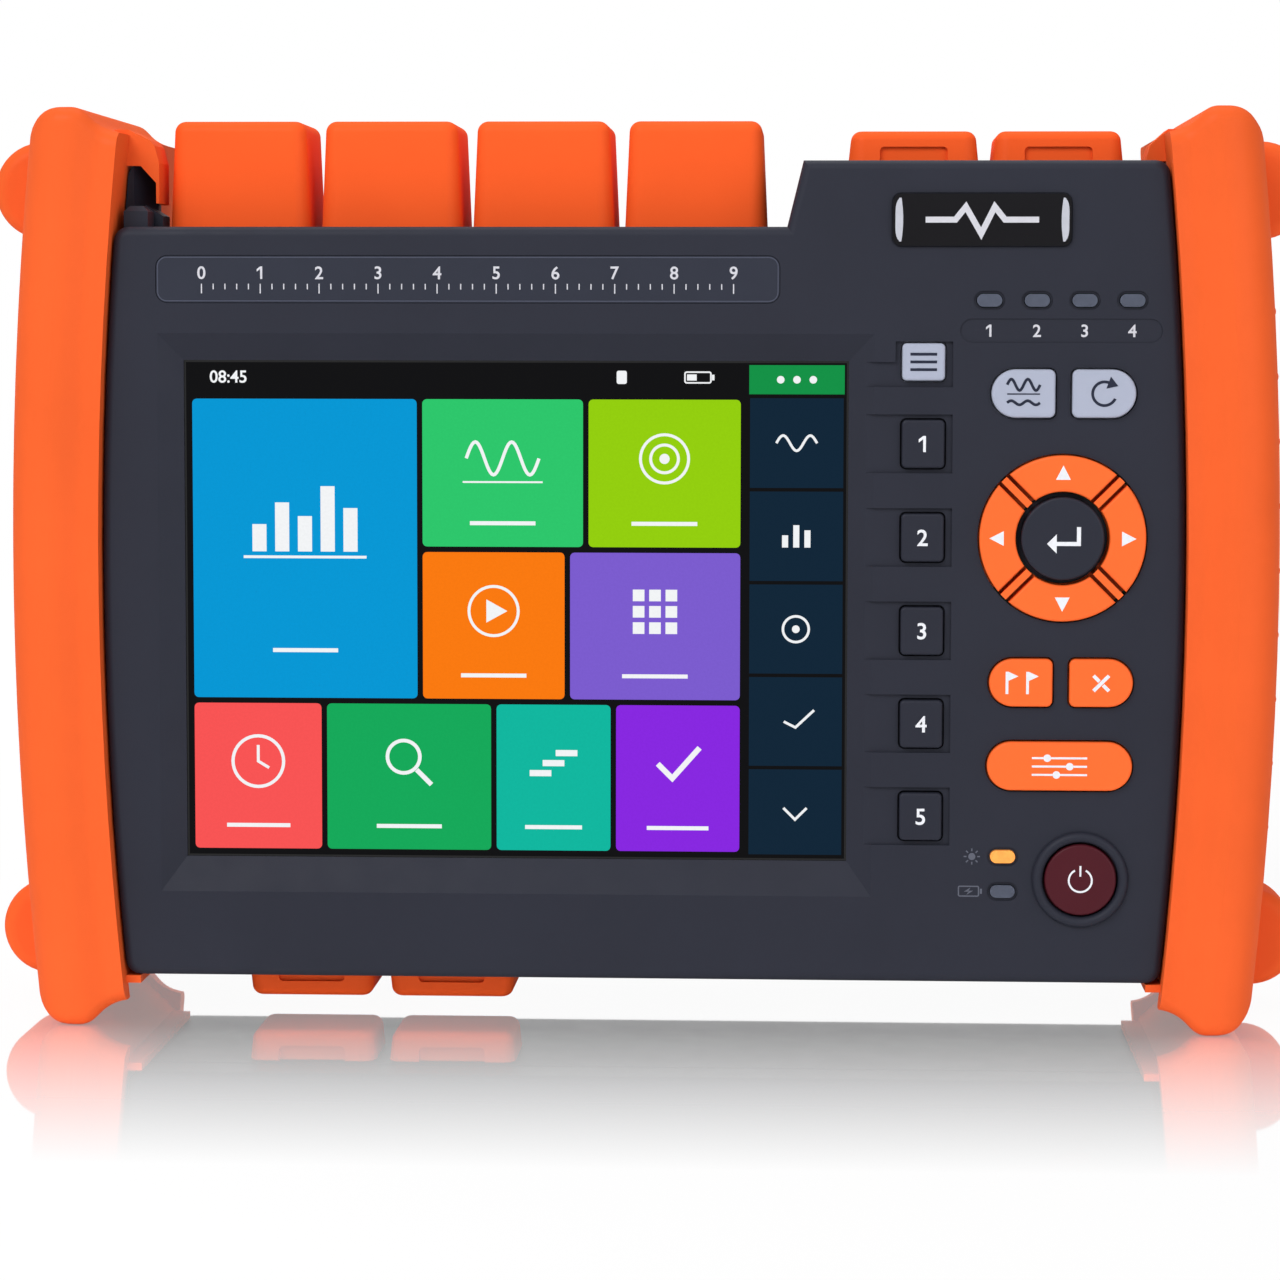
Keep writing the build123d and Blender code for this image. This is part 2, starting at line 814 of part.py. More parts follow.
def make_usb_sockets():
    block = socket_block()
    tongues = []
    for side in (-1, 1):
        y = side * usb_pitch / 2
        block -= mouth_cut(0, y, usb_width, usb_height, usb_deep)
        tongue = Box(usb_tongue_width, usb_tongue_thickness, usb_deep)
        tongues.append(Pos(0, y + usb_tongue_offset, -usb_deep / 2 - usb_tongue_set_back) * tongue)
    for tongue in tongues:
        block += tongue
    return block


def make_rj_socket():
    block = socket_block()
    block -= mouth_cut(0, 0, rj_width, rj_height, rj_deep)
    return block - mouth_cut(0, -rj_height / 2, rj_latch_width, 2 * rj_latch_height, rj_deep)


def make_dc_socket():
    block = socket_block()
    hole = Cylinder(dc_radius, dc_deep + overrun, align=(Align.CENTER, Align.CENTER, Align.MAX))
    block -= Pos(0, 0, overrun) * hole
    pin = Cylinder(dc_pin_radius, dc_pin_length + overrun, align=(Align.CENTER, Align.CENTER, Align.MIN))
    return block + Pos(0, 0, -dc_deep - overrun) * pin


# Hinged covers, modelled with the base at z = 0 and the front at y = 0

def knuckles(depth):
    y = depth + knuckle_gap + knuckle_radius
    z = hinge_height()
    parts = []
    for side in (-1, 1):
        near = side * (lug_width / 2 + lug_gap)
        x0, x1 = sorted((near, near + side * knuckle_width))
        barrel = rod_along_x(x0, x1, y, z, knuckle_radius)
        web = box_between(x0, x1, depth - knuckle_root, y, z - knuckle_radius, z + knuckle_radius - knuckle_gap)
        parts.append((barrel + web, rod_along_x(x0 - overrun, x1 + overrun, y, z, pin_radius + pin_running)))
    return parts


def add_knuckles(cover, depth):
    for solid, bore in knuckles(depth):
        cover += solid
        cover -= bore
    return cover


def make_port_cap():
    middle = Pos(0, cap_depth / 2, seat_gap)
    height = cap_height - seat_gap
    outer = extrude(RectangleRounded(cap_width, cap_depth, cap_corner), height, taper=cap_draft)
    outer = fillet(outer.faces().sort_by(Axis.Z)[-1].edges(), cap_top_round)
    inside = RectangleRounded(cap_width - 2 * cap_wall, cap_depth - 2 * cap_wall, cap_inner_corner)
    inner = extrude(inside, height - cap_wall, taper=cap_draft)
    cap = add_knuckles(middle * outer, cap_depth)
    return cap - middle * inner


def make_flap():
    height = flap_height - seat_gap
    middle = Pos(0, flap_depth / 2, seat_gap)
    outer = extrude(RectangleRounded(flap_width, flap_depth, flap_corner), height, taper=flap_draft)
    outer = fillet(outer.faces().sort_by(Axis.Z)[-1].edges(), flap_top_round)
    flap = add_knuckles(middle * outer, flap_depth)
    half = plinth_width / 2 + 2 * fit_gap
    front = socket_y - cover_front_y - plinth_depth / 2 - 2 * fit_gap
    back = socket_y - cover_front_y + plinth_depth / 2 + plinth_back_gap
    flap -= box_between(-half, half, front, back, 0, plinth_height + 2 * fit_gap)
    notch = RectangleRounded(notch_width, 2 * notch_height, notch_corner)
    return flap - slab(notch, -overrun, notch_depth)


def place_cover(cover, x, base_z, up):
    corner = Pos(x, cover_front_y, base_z)
    if up > 0:
        return corner * cover
    return corner * Rot(0, 180, 0) * cover


def hinge_pin(x, y, base_z, up):
    half = lug_width / 2 + lug_gap + knuckle_width
    return rod_along_x(x - half, x + half, y, base_z + up * hinge_height(), pin_radius)


def make_port_cap_pins():
    return Compound([hinge_pin(x, hinge_y(cap_depth), left_deck_z, 1) for x in cap_places])


def make_flap_pins():
    return Compound([hinge_pin(x, hinge_y(flap_depth), z, up) for x, z, up in flap_sites()])


# Optical ports, standing on the left deck

def port_base():
    flange = extrude(RectangleRounded(port_flange, port_flange, port_flange_corner), port_flange_thickness)
    stem = Cylinder(port_stem_radius, port_stem_depth, align=(Align.CENTER, Align.CENTER, Align.MAX))
    reach = port_flange / 2 - port_screw_inset
    for x in (-reach, reach):
        for y in (-reach, reach):
            head = Cylinder(port_screw_radius, port_flange_thickness + port_screw_height,
                            align=(Align.CENTER, Align.CENTER, Align.MIN))
            flange += Pos(x, y, 0) * head
    return flange + stem


def make_port(barrel_radius, barrel_height, keyed):
    port = port_base()
    top = port_flange_thickness + barrel_height
    barrel = Cylinder(barrel_radius, top, align=(Align.CENTER, Align.CENTER, Align.MIN))
    barrel = chamfer(barrel.edges().sort_by(Axis.Z)[-1], port_barrel_chamfer)
    port += barrel
    rim = Cylinder(port_well_radius, port_well_depth + overrun, align=(Align.CENTER, Align.CENTER, Align.MIN))
    port -= Pos(0, 0, top - port_well_depth) * rim
    if keyed:
        size = (port_key_width, barrel_radius, port_key_depth + overrun)
        slot = Box(*size, align=(Align.CENTER, Align.MIN, Align.MIN))
        port -= Pos(0, port_well_radius - overrun, top - port_key_depth) * slot
    bore = Cylinder(ferrule_radius, top + port_stem_depth - wall, align=(Align.CENTER, Align.CENTER, Align.MAX))
    return port - Pos(0, 0, top) * bore


# Screen stack and plates

def make_touch_window():
    outline = Rectangle(screen_width + 2 * window_border, screen_height + 2 * window_border)
    return slab(Pos(screen_x, screen_z) * outline, front_inside, front_inside + window_thickness)


def make_lcd_module():
    outline = Rectangle(screen_width + 2 * lcd_border, screen_height + 2 * lcd_border)
    start = front_inside + window_thickness
    return slab(Pos(screen_x, screen_z) * outline, start, start + lcd_thickness)


def make_title_plate():
    outline = RectangleRounded(title_width - fit_gap, title_height - fit_gap, title_corner - fit_gap / 2)
    back = case_front + title_recess
    return slab(Pos(title_x, title_z) * outline, back - title_thickness, back)


def make_badge_plate():
    back = case_front + badge_recess
    front = back - badge_thickness
    half = badge_height / 2
    edge = front + badge_crown
    crown = ThreePointArc((edge, -half), (front, 0), (edge, half))
    rest = Polyline((edge, half), (back, half), (back, -half), (edge, -half))
    bar = extrude(Plane.YZ * make_face([crown, rest]), badge_width)
    bar = Pos(badge_x - badge_width / 2, 0, badge_z) * bar
    outline = RectangleRounded(badge_width, badge_height, badge_corner)
    return bar & slab(Pos(badge_x, badge_z) * outline, front - overrun, back)


def light_pipe(x, z):
    return slab(Pos(x, z) * light_outline(0), case_front - light_proud, key_board_front)


def make_status_light_pipes():
    return Compound([light_pipe(x, z) for x, z in status_lights])


# Keys

def make_plain_key(outline, x, z, proud):
    cap = slab(Pos(x, z) * outline(0), case_front - proud, flange_back)
    cap = fillet(front_edges(cap), key_edge)
    return cap + slab(Pos(x, z) * outline(key_lip), flange_front, flange_back)


def dpad_sector(inner, outer, clear, turn):
    ring = Circle(outer) - Circle(inner)
    for angle in (45, -45):
        ring -= Rot(0, 0, angle) * Rectangle(3 * outer, clear)
    for face in ring.faces():
        if abs((degrees(atan2(face.center().Y, face.center().X)) - turn + 180) % 360 - 180) < 45:
            return face


def make_arc_key(turn):
    clear = dpad_bar + 2 * dpad_groove
    sector = dpad_sector(dpad_inner_radius, dpad_radius, clear, turn)
    key = slab(Pos(dpad_x, dpad_z) * sector, case_front - key_proud, flange_front)
    key = fillet(front_edges(key), key_edge)
    inner = dpad_radius - dpad_back_ring
    rim = dpad_sector(inner, dpad_radius + key_gap + key_lip, clear + 2 * key_lip, turn)
    return key + slab(Pos(dpad_x, dpad_z) * rim, flange_front, flange_back)


def make_dpad_web():
    plate = Circle(dpad_radius) - Circle(enter_radius + enter_skirt + seat_gap)
    web = slab(Pos(dpad_x, dpad_z) * plate, key_board_front - web_thickness, key_board_front)
    ring = Circle(dpad_radius) - Circle(dpad_inner_radius)
    for angle in (45, -45):
        bar = ring & (Rot(0, 0, angle) * Rectangle(3 * dpad_radius, dpad_bar))
        for face in bar.faces():
            web += slab(Pos(dpad_x, dpad_z) * face, case_front - key_proud + key_edge, key_board_front)
    return web


def make_enter_key():
    cap = slab(Pos(dpad_x, dpad_z) * Circle(enter_radius), case_front - enter_proud, flange_back)
    cap = fillet(front_edges(cap), key_edge)
    return cap + slab(Pos(dpad_x, dpad_z) * Circle(enter_radius + enter_skirt), flange_front, flange_back)


# Boards and modules

def make_keypad_board():
    board = box_between(key_board_left, key_board_right, key_board_front, key_board_front + board_thickness,
                        key_board_low, key_board_high)
    places = [(x, z) for outline, x, z, proud in plain_keys.values()] + [(dpad_x, dpad_z)]
    for x, z in places:
        board += rod_along_y(x, z, key_board_front - dome_height, key_board_front, dome_radius)
    return board


def make_main_board():
    return box_between(-main_board_half, main_board_half, main_board_y, main_board_y + board_thickness,
                       main_board_low, main_board_high)


def make_optical_module():
    back = main_board_y + board_thickness
    left = module_side_gap - main_board_half
    high = main_board_high - module_top_gap
    block = box_between(left, left + module_width, back, back + module_depth, high - module_height, high)
    return fillet(block.edges().filter_by(Axis.Y), module_edge)


def make_battery_pack():
    return slab(bay_outline(-battery_gap), bay_front_y, case_back - door_thickness - battery_gap)


# Battery door with its screws

def door_outline(shrink):
    width = 2 * (bay_half + door_ear - shrink)
    height = bay_high - bay_low + 2 * (door_margin - shrink)
    return Pos(0, (bay_low + bay_high) / 2) * RectangleRounded(width, height, door_corner)


def door_recess():
    return slab(door_outline(0), case_back - door_thickness, case_back + overrun)


def door_screw_places():
    z = (bay_low + bay_high) / 2
    x = bay_half + door_ear / 2
    return [(-x, z), (x, z)]


def door_screw_seat_y():
    return case_back - seat_gap - door_screw_head_height


def make_battery_door():
    door = slab(door_outline(fit_gap), case_back - door_thickness, case_back)
    start = case_back - door_thickness - overrun
    for x, z in door_screw_places():
        door -= rod_along_y(x, z, start, case_back, door_screw_radius + screw_hole_gap)
        door -= rod_along_y(x, z, door_screw_seat_y(), case_back + overrun, door_screw_head_radius + fit_gap)
    return door


def make_screw(x, z, seat_y, tip_y, radius, head_radius, head_height):
    shank = rod_along_y(x, z, tip_y, seat_y, radius)
    return shank + rod_along_y(x, z, seat_y, seat_y + head_height, head_radius)


def make_door_screws():
    seat = door_screw_seat_y()
    sizes = (door_screw_radius, door_screw_head_radius, door_screw_head_height)
    return Compound([make_screw(x, z, seat, seat - door_screw_length, *sizes) for x, z in door_screw_places()])


def make_housing_screws():
    tip = front_inside + screw_tip_gap
    sizes = (screw_radius, screw_head_radius, screw_head_height)
    return Compound([make_screw(x, z, screw_seat_y, tip, *sizes) for x, z in screw_places])


# Bail stand

def stand_axis_y():
    return case_back - stand_flush - stand_thickness / 2


def stand_pin(side, grow):
    start = side * (stand_half - stand_leg / 2) - stand_pin_length / 2
    return rod_along_x(start, start + stand_pin_length, stand_axis_y(), stand_top_z, stand_pin_radius + grow)


def make_bail_stand():
    back = case_back - stand_flush
    stand = slab(stand_outline(0), back - stand_thickness, back)
    ends = stand.edges().filter_by(Axis.X).group_by(Axis.Z)[-1]
    stand = fillet(ends, stand_end_round)
    for side in (-1, 1):
        stand -= stand_pin(side, pin_running)
    return stand


def make_bail_pins():
    return Compound([stand_pin(side, 0) for side in (-1, 1)])


# Bumpers

def bumper_section():
    front = -overall_depth / 2
    inner = case_half_mid + fit_gap
    outer = inner + bumper_width
    lip = (inner, front + lip_set_back)
    valley = (inner + valley_run, front + valley_depth)
    crest = (inner + crest_run, front)
    side = (outer - roll_side, front + roll_run)
    strip = Spline(lip, valley, crest, tangents=((1, lip_slope_share), (1, 0)))
    roll = Spline(crest, side, tangents=((1, 0), (side_slope_share, 1)))
    front_half = [strip, roll]
    back_half = [mirror(curve, about=Plane.XZ) for curve in front_half]
    flank = ThreePointArc(side, (outer, 0), (side[0], -side[1]))
    return make_face(front_half + back_half + [flank, Line((inner, -lip[1]), lip)])


def end_curves():
    top = bumper_height
    lip = (end_crest_x - end_lip_run, top - end_lip_drop)
    swell = (end_crest_x - end_swell_run, top - end_swell_drop)
    crest_in = (end_crest_x - foot_flat / 2, top)
    crest_out = (end_crest_x + foot_flat / 2, top)
    shoulder = (end_crest_x + end_shoulder_run, top - end_shoulder_drop)
    side = (end_crest_x + end_side_run, top - end_side_drop)
    upper = [
        Line((0, lip[1]), lip),
        Spline(lip, swell, crest_in, tangents=((1, end_lip_slope_share), (1, 0))),
        Line(crest_in, crest_out),
        Spline(crest_out, shoulder, side, tangents=((1, 0), (end_side_slope_share, -1))),
        Line(side, (far, side[1])),
    ]
    return upper, side[1], lip[1]


def end_outline():
    upper, side_z, lip_z = end_curves()
    flip = Plane(origin=(0, bumper_height / 2, 0), z_dir=(0, 1, 0))
    lower = [mirror(curve, about=flip) for curve in upper]
    sides = [Line((far, side_z), (far, bumper_height - side_z)), Line((0, bumper_height - lip_z), (0, lip_z))]
    return make_face(upper + lower + sides)


def is_end_edge(edge):
    box = edge.bounding_box()
    at_end = box.min.Z > bumper_height - end_side_drop - overrun or box.max.Z < end_side_drop + overrun
    across = box.size.Y > overall_depth / 2
    inner = box.max.X < end_crest_x - end_lip_run + end_lip_zone and box.size.X < end_lip_zone
    return at_end and not across and not inner


def grip_ribs():
    outer = bow_radius + fit_gap + bumper_width
    ribs = []
    for i in range(grip_rib_count):
        dz = (i - (grip_rib_count - 1) / 2) * grip_rib_pitch
        angle = asin(dz / outer)
        x = bow_axis_x + (outer - grip_rib_sunk) * (1 - angle ** 2 / 2)
        ribs.append(rod_along_y(x, case_mid_z + dz, -grip_rib_length / 2, grip_rib_length / 2, grip_rib_radius))
    return ribs


def foot_relief():
    side = case_half_end + seat_gap
    top = case_bottom - fit_gap - 2 * seat_gap
    foot = end_crest_x - relief_run
    near = case_half_end - overrun
    outline = polygon([(near, -overrun), (foot, -overrun), (foot, 0), (side, top), (near, top)])
    return slab(outline, relief_front - overall_depth / 2, overall_depth / 2 - relief_front)


def bumper_lobe(z):
    lobe = rod_along_y(lobe_x, z, lobe_front, lobe_back, lobe_radius)
    ends = lobe.faces().sort_by(Axis.Y)
    return fillet(ends[0].edges() + ends[-1].edges(), lobe_round)


def bumper_under_lip():
    low = case_bottom - fit_gap - under_lip
    inner = case_half_end - under_lip_reach
    front = case_front + under_lip_inset
    back = case_back - under_lip_back
    return box_between(inner, case_half_end + overrun, front, back, low, case_bottom - fit_gap)


def bumper_core():
    sweep = 2 * degrees(asin((bumper_height / 2 + bumper_width) / bow_radius))
    axis = Axis((bow_axis_x, 0, case_mid_z), (0, 1, 0))
    section = Plane((0, 0, case_mid_z)) * bumper_section()
    body = revolve(section.rotate(axis, -sweep / 2), axis, sweep)
    body &= slab(end_outline(), -overall_depth / 2 - overrun, overall_depth / 2 + overrun)
    body = fillet(body.edges().filter_by(is_end_edge), end_round)
    body -= foot_relief()
    body += bumper_under_lip()
    for z in (lobe_inset, bumper_height - lobe_inset):
        body += bumper_lobe(z)
    for rib in grip_ribs():
        body += rib
    return body


def make_right_bumper():
    deck = case_top + fit_gap
    top = deck + hood_height
    start = case_half_end - hood_reach
    middle = deck + hood_height / 2
    rooted = case_half_end + 2 * hood_wall
    hood = polygon([(start, deck), (rooted, deck), (rooted, top), (start + hood_slope, top),
                    (start + hood_shoulder, middle)])
    return bumper_core() + slab(hood, rear_front, hood_back)


def left_hood():
    edge = post_right_x + fit_gap + hood_wall
    cheek = edge - hood_cheek
    top = case_top + fit_gap + hood_height
    skirt = case_top - hood_skirt
    rooted = -case_half_end - 2 * hood_wall
    wall_foot = left_deck_z + gusset_high + fit_gap
    lower = [(rooted, skirt), (edge - post_chamfer_x, skirt), (cheek, skirt - hood_cheek_drop),
             (cheek, wall_foot)]
    upper = [(edge, wall_foot), (edge, case_top), (edge - hood_shoulder, top - hood_height / 2),
             (edge - 2 * hood_shoulder, top - hood_height / 3), (-case_half_end, top), (rooted, top)]
    face = polygon(lower + upper)
    start = rear_front + post_chamfer_y
    side = box_between(edge - hood_wall, edge, start, hood_back, wall_foot, case_top)
    return slab(face, hood_front, hood_back) + side - post_envelope(fit_gap)


def make_left_bumper():
    return mirror(bumper_core(), about=Plane.YZ) + left_hood()


def make_gasket():
    ring = stepped_outline(gasket_inset) - stepped_outline(wall)
    return slab(ring, parting_y, rear_front)


def build_parts():
    parts = {
        "front_housing": make_front_housing(),
        "rear_housing": make_rear_housing(),
        "housing_gasket": make_gasket(),
        "left_bumper": make_left_bumper(),
        "right_bumper": make_right_bumper(),
        "touch_window": make_touch_window(),
        "lcd_module": make_lcd_module(),
        "title_plate": make_title_plate(),
        "badge_plate": make_badge_plate(),
        "status_light_pipes": make_status_light_pipes(),
        "dpad_web": make_dpad_web(),
        "enter_key": make_enter_key(),
        "keypad_board": make_keypad_board(),
        "main_board": make_main_board(),
        "optical_module": make_optical_module(),
        "battery_pack": make_battery_pack(),
        "battery_door": make_battery_door(),
        "bail_stand": make_bail_stand(),
        "bail_pins": make_bail_pins(),
        "housing_screws": make_housing_screws(),
        "door_screws": make_door_screws(),
        "port_cap_pins": make_port_cap_pins(),
        "flap_pins": make_flap_pins(),
    }
    for name, (x, z) in lone_lights.items():
        parts[name] = light_pipe(x, z)
    for name, key in plain_keys.items():
        parts[name] = make_plain_key(*key)
    for name, turn in (("right_key", 0), ("up_key", 90), ("left_key", 180), ("down_key", 270)):
        parts[name] = make_arc_key(turn)
    cap = make_port_cap()
    keyed_port = make_port(port_barrel_radius, port_barrel_height, True)
    meter_port = make_port(meter_barrel_radius, meter_barrel_height, False)
    ports = {"otdr_port": keyed_port, "source_port": keyed_port, "locator_port": keyed_port,
             "meter_port": meter_port}
    for number, (x, (name, port)) in enumerate(zip(cap_places, ports.items())):
        parts[f"port_cap_{number + 1}"] = place_cover(cap, x, left_deck_z, 1)
        parts[name] = Pos(x, port_y, left_deck_z) * port
    flap = make_flap()
    sockets = [("usb", make_usb_sockets()), ("power", make_dc_socket()), ("network", make_rj_socket()),
               ("tracker", make_rj_socket())]
    for (name, socket), (x, z, up) in zip(sockets, flap_sites()):
        parts[f"{name}_flap"] = place_cover(flap, x, z, up)
        parts[f"{name}_socket"] = place_socket(socket, x, z, up)
    return parts


os.makedirs("parts", exist_ok=True)
for name, shape in build_parts().items():
    export_step(shape, f"parts/{name}.step")
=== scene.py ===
# Looks of the hand-held optical reflectometer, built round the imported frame.
# Metres, in the frame's axes: X to the right, Y into the back, Z up.
import json
import math

import bmesh
import bpy
from mathutils import Matrix, Vector


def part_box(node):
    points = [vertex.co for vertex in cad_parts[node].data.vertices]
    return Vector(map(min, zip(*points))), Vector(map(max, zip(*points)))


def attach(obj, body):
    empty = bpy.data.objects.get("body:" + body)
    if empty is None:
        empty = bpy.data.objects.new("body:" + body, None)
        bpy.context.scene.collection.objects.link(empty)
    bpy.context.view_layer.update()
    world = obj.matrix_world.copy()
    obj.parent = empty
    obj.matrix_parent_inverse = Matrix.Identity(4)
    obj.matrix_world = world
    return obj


MM = 0.001

# Camera, fitted to the photograph
CAMERA_PLACE = (35.7 * MM, -779.7 * MM, 137.9 * MM)
CAMERA_AIM = (-0.04 * MM, -33.0 * MM, 77.6 * MM)
CAMERA_ROLL = 0.085      # degrees
CAMERA_LENS = 106.96     # millimetres on a sensor 36 mm wide
SENSOR_WIDTH = 36.0

# Sizes shared with the solids
CASE_FACE = -33.0 * MM       # y of the case's front face
WINDOW_BORDER = 4.0 * MM     # of the touch window, hidden behind the frame
LABEL_DROP = 5.9 * MM        # from the status lights down to their label field
LABEL_DEPTH = 0.25 * MM      # of that field below the face
LIGHT_COUNT = 4
LIGHT_WIDTH = 4.9 * MM

# Printing
INK_THICKNESS = 0.08 * MM
INK_SINK = 0.03 * MM         # of the ink's back into the surface
SHAPE_STEP = 0.002 * MM      # keeps the faces of shapes that touch apart
SHAPE_LEVELS = 8             # before the steps start again
LINE = 0.55 * MM             # a sign's usual line
KEY_NUMERAL = 4.5 * MM
SCALE_NUMERAL = 3.5 * MM
LIGHT_NUMERAL = 3.4 * MM
CLOCK_NUMERAL = 3.4 * MM
CAPITAL_SHARE = 0.7          # a capital's height, of the font's
WEIGHT_SHARE = 0.014         # how much bolder the numerals are drawn
STEM_SHARE = 0.12            # the upright of the numeral 1, of the font's height
DISC_POINTS = 20             # round a small disc

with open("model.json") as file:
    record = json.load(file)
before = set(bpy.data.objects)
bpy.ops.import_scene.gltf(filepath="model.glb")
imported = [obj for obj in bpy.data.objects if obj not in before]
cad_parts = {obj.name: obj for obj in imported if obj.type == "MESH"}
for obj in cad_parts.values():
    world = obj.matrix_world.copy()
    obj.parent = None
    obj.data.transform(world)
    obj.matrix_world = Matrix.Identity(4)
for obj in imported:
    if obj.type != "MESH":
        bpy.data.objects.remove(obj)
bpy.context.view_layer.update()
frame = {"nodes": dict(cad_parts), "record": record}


# Colours

def linear(red, green, blue):
    """A linear colour from sRGB values of 0 to 255."""
    def channel(value):
        share = value / 255
        if share <= 0.04045:
            return share / 12.92
        return ((share + 0.055) / 1.055) ** 2.4
    return channel(red), channel(green), channel(blue), 1.0


def shade(color, factor):
    return tuple(min(1.0, c * factor) for c in color[:3]) + (1.0,)


# Materials

GRAIN = 0.4 * MM             # of moulded surfaces


class Nodes:
    """A material's node tree, with short calls to add and join nodes."""

    def __init__(self, name):
        self.material = bpy.data.materials.new(name)
        self.material.use_nodes = True
        self.tree = self.material.node_tree
        self.shader = self.tree.nodes["Principled BSDF"]
        self.output = self.tree.nodes["Material Output"]

    def add(self, kind, **inputs):
        node = self.tree.nodes.new(kind)
        for key, value in inputs.items():
            node.inputs[key].default_value = value
        return node

    def join(self, source, target):
        self.tree.links.new(source, target)

    def set(self, **values):
        for key, value in values.items():
            self.shader.inputs[key.replace("_", " ")].default_value = value

    def place(self):
        return self.add("ShaderNodeTexCoord").outputs["Object"]

    def noise(self, scale, detail=3.0, roughness=0.55):
        node = self.add("ShaderNodeTexNoise", Scale=scale, Detail=detail, Roughness=roughness)
        self.join(self.place(), node.inputs["Vector"])
        return node.outputs["Fac"]

    def spread(self, source, low, high, start=0.3, end=0.7):
        node = self.add("ShaderNodeMapRange")
        node.inputs["From Min"].default_value = start
        node.inputs["From Max"].default_value = end
        node.inputs["To Min"].default_value = low
        node.inputs["To Max"].default_value = high
        self.join(source, node.inputs["Value"])
        return node.outputs["Result"]

    def compute(self, operation, *sources):
        node = self.tree.nodes.new("ShaderNodeMath")
        node.operation = operation
        for source, target in zip(sources, node.inputs):
            self.join(source, target)
        return node.outputs["Value"]

    def blend_colors(self, factor, first, second):
        node = self.tree.nodes.new("ShaderNodeMix")
        node.data_type = "RGBA"
        node.inputs["A"].default_value = first
        node.inputs["B"].default_value = second
        self.join(factor, node.inputs["Factor"])
        return node.outputs["Result"]

    def cloudy(self, color, amount, scale):
        """The base colour, lighter and darker in soft clouds."""
        cloud = self.spread(self.noise(scale, 4.0), 0.0, 1.0)
        tint = self.blend_colors(cloud, shade(color, 1 - amount), shade(color, 1 + amount))
        self.join(tint, self.shader.inputs["Base Color"])
        return tint

    def uneven_gloss(self, roughness, amount, scale):
        gloss = self.spread(self.noise(scale, 5.0), roughness - amount, roughness + amount)
        self.join(gloss, self.shader.inputs["Roughness"])

    def bump(self, height, depth):
        node = self.add("ShaderNodeBump", Strength=1.0, Distance=depth)
        self.join(height, node.inputs["Height"])
        self.join(node.outputs["Normal"], self.shader.inputs["Normal"])

    def mix_shaders(self, factor, first, second):
        node = self.tree.nodes.new("ShaderNodeMixShader")
        self.join(factor, node.inputs["Fac"])
        self.join(first, node.inputs[1])
        self.join(second, node.inputs[2])
        return node.outputs["Shader"]


def moulded(name, color, roughness, depth=0.008 * MM, mottle=0.05, gloss=0.15, coat=0.0):
    """Moulded plastic or rubber: fine spark-eroded grain, cloudy colour and uneven gloss."""
    nodes = Nodes(name)
    nodes.cloudy(color, mottle, scale=45.0)
    nodes.uneven_gloss(roughness, amount=0.05, scale=160.0)
    nodes.bump(nodes.noise(1.0 / GRAIN, detail=2.0, roughness=0.5), depth)
    nodes.set(Specular_IOR_Level=gloss, Coat_Weight=coat, Coat_Roughness=0.35)
    return nodes.material


def metal(name, color, roughness):
    """Metal with fine streaks along Y."""
    nodes = Nodes(name)
    stretch = nodes.add("ShaderNodeMapping")
    stretch.inputs["Scale"].default_value = (900.0, 60.0, 900.0)
    nodes.join(nodes.place(), stretch.inputs["Vector"])
    lines = nodes.add("ShaderNodeTexNoise", Scale=1.0, Detail=4.0)
    nodes.join(stretch.outputs["Vector"], lines.inputs["Vector"])
    tint = nodes.blend_colors(lines.outputs["Fac"], shade(color, 0.85), shade(color, 1.08))
    nodes.join(tint, nodes.shader.inputs["Base Color"])
    gloss = nodes.spread(lines.outputs["Fac"], roughness - 0.06, roughness + 0.08)
    nodes.join(gloss, nodes.shader.inputs["Roughness"])
    nodes.bump(lines.outputs["Fac"], 0.004 * MM)
    nodes.set(Metallic=1.0)
    return nodes.material


def printed(name, color, roughness=0.5):
    """Screen-printed ink, a little uneven."""
    nodes = Nodes(name)
    nodes.cloudy(color, amount=0.04, scale=900.0)
    nodes.set(Roughness=roughness, Specular_IOR_Level=0.2)
    return nodes.material


def lit(name, color):
    """A lit field of the display, with its faint grid of dots."""
    nodes = Nodes(name)
    dots = nodes.spread(nodes.noise(2200.0, detail=1.0), 0.98, 1.02)
    scaled = nodes.add("ShaderNodeMix")
    scaled.data_type = "RGBA"
    scaled.blend_type = "MULTIPLY"
    scaled.inputs["Factor"].default_value = 1.0
    scaled.inputs["A"].default_value = color
    nodes.join(dots, scaled.inputs["B"])
    nodes.join(scaled.outputs["Result"], nodes.shader.inputs["Emission Color"])
    nodes.set(Emission_Strength=0.98, Base_Color=(0.001, 0.001, 0.001, 1.0), Roughness=0.3,
              Specular_IOR_Level=0.02)
    return nodes.material


def glossy(name, color, roughness, gloss=0.5, coat=0.0):
    """Smooth gloss, with a clear coat where there is one, and faint wipe marks."""
    nodes = Nodes(name)
    nodes.cloudy(color, amount=0.1, scale=30.0)
    nodes.uneven_gloss(roughness, amount=0.03, scale=70.0)
    nodes.set(Specular_IOR_Level=gloss, Coat_Weight=coat, Coat_Roughness=0.05)
    return nodes.material


def frosted(name, color, glow=0.0):
    """A light pipe's frosted face, lit from inside where it glows."""
    nodes = Nodes(name)
    tint = nodes.cloudy(color, amount=0.1, scale=700.0)
    if glow:
        nodes.join(tint, nodes.shader.inputs["Emission Color"])
    nodes.set(Emission_Strength=glow, Roughness=0.35, Specular_IOR_Level=0.3, Subsurface_Weight=0.2,
              Subsurface_Radius=(1.0 * MM, 1.0 * MM, 1.0 * MM))
    return nodes.material


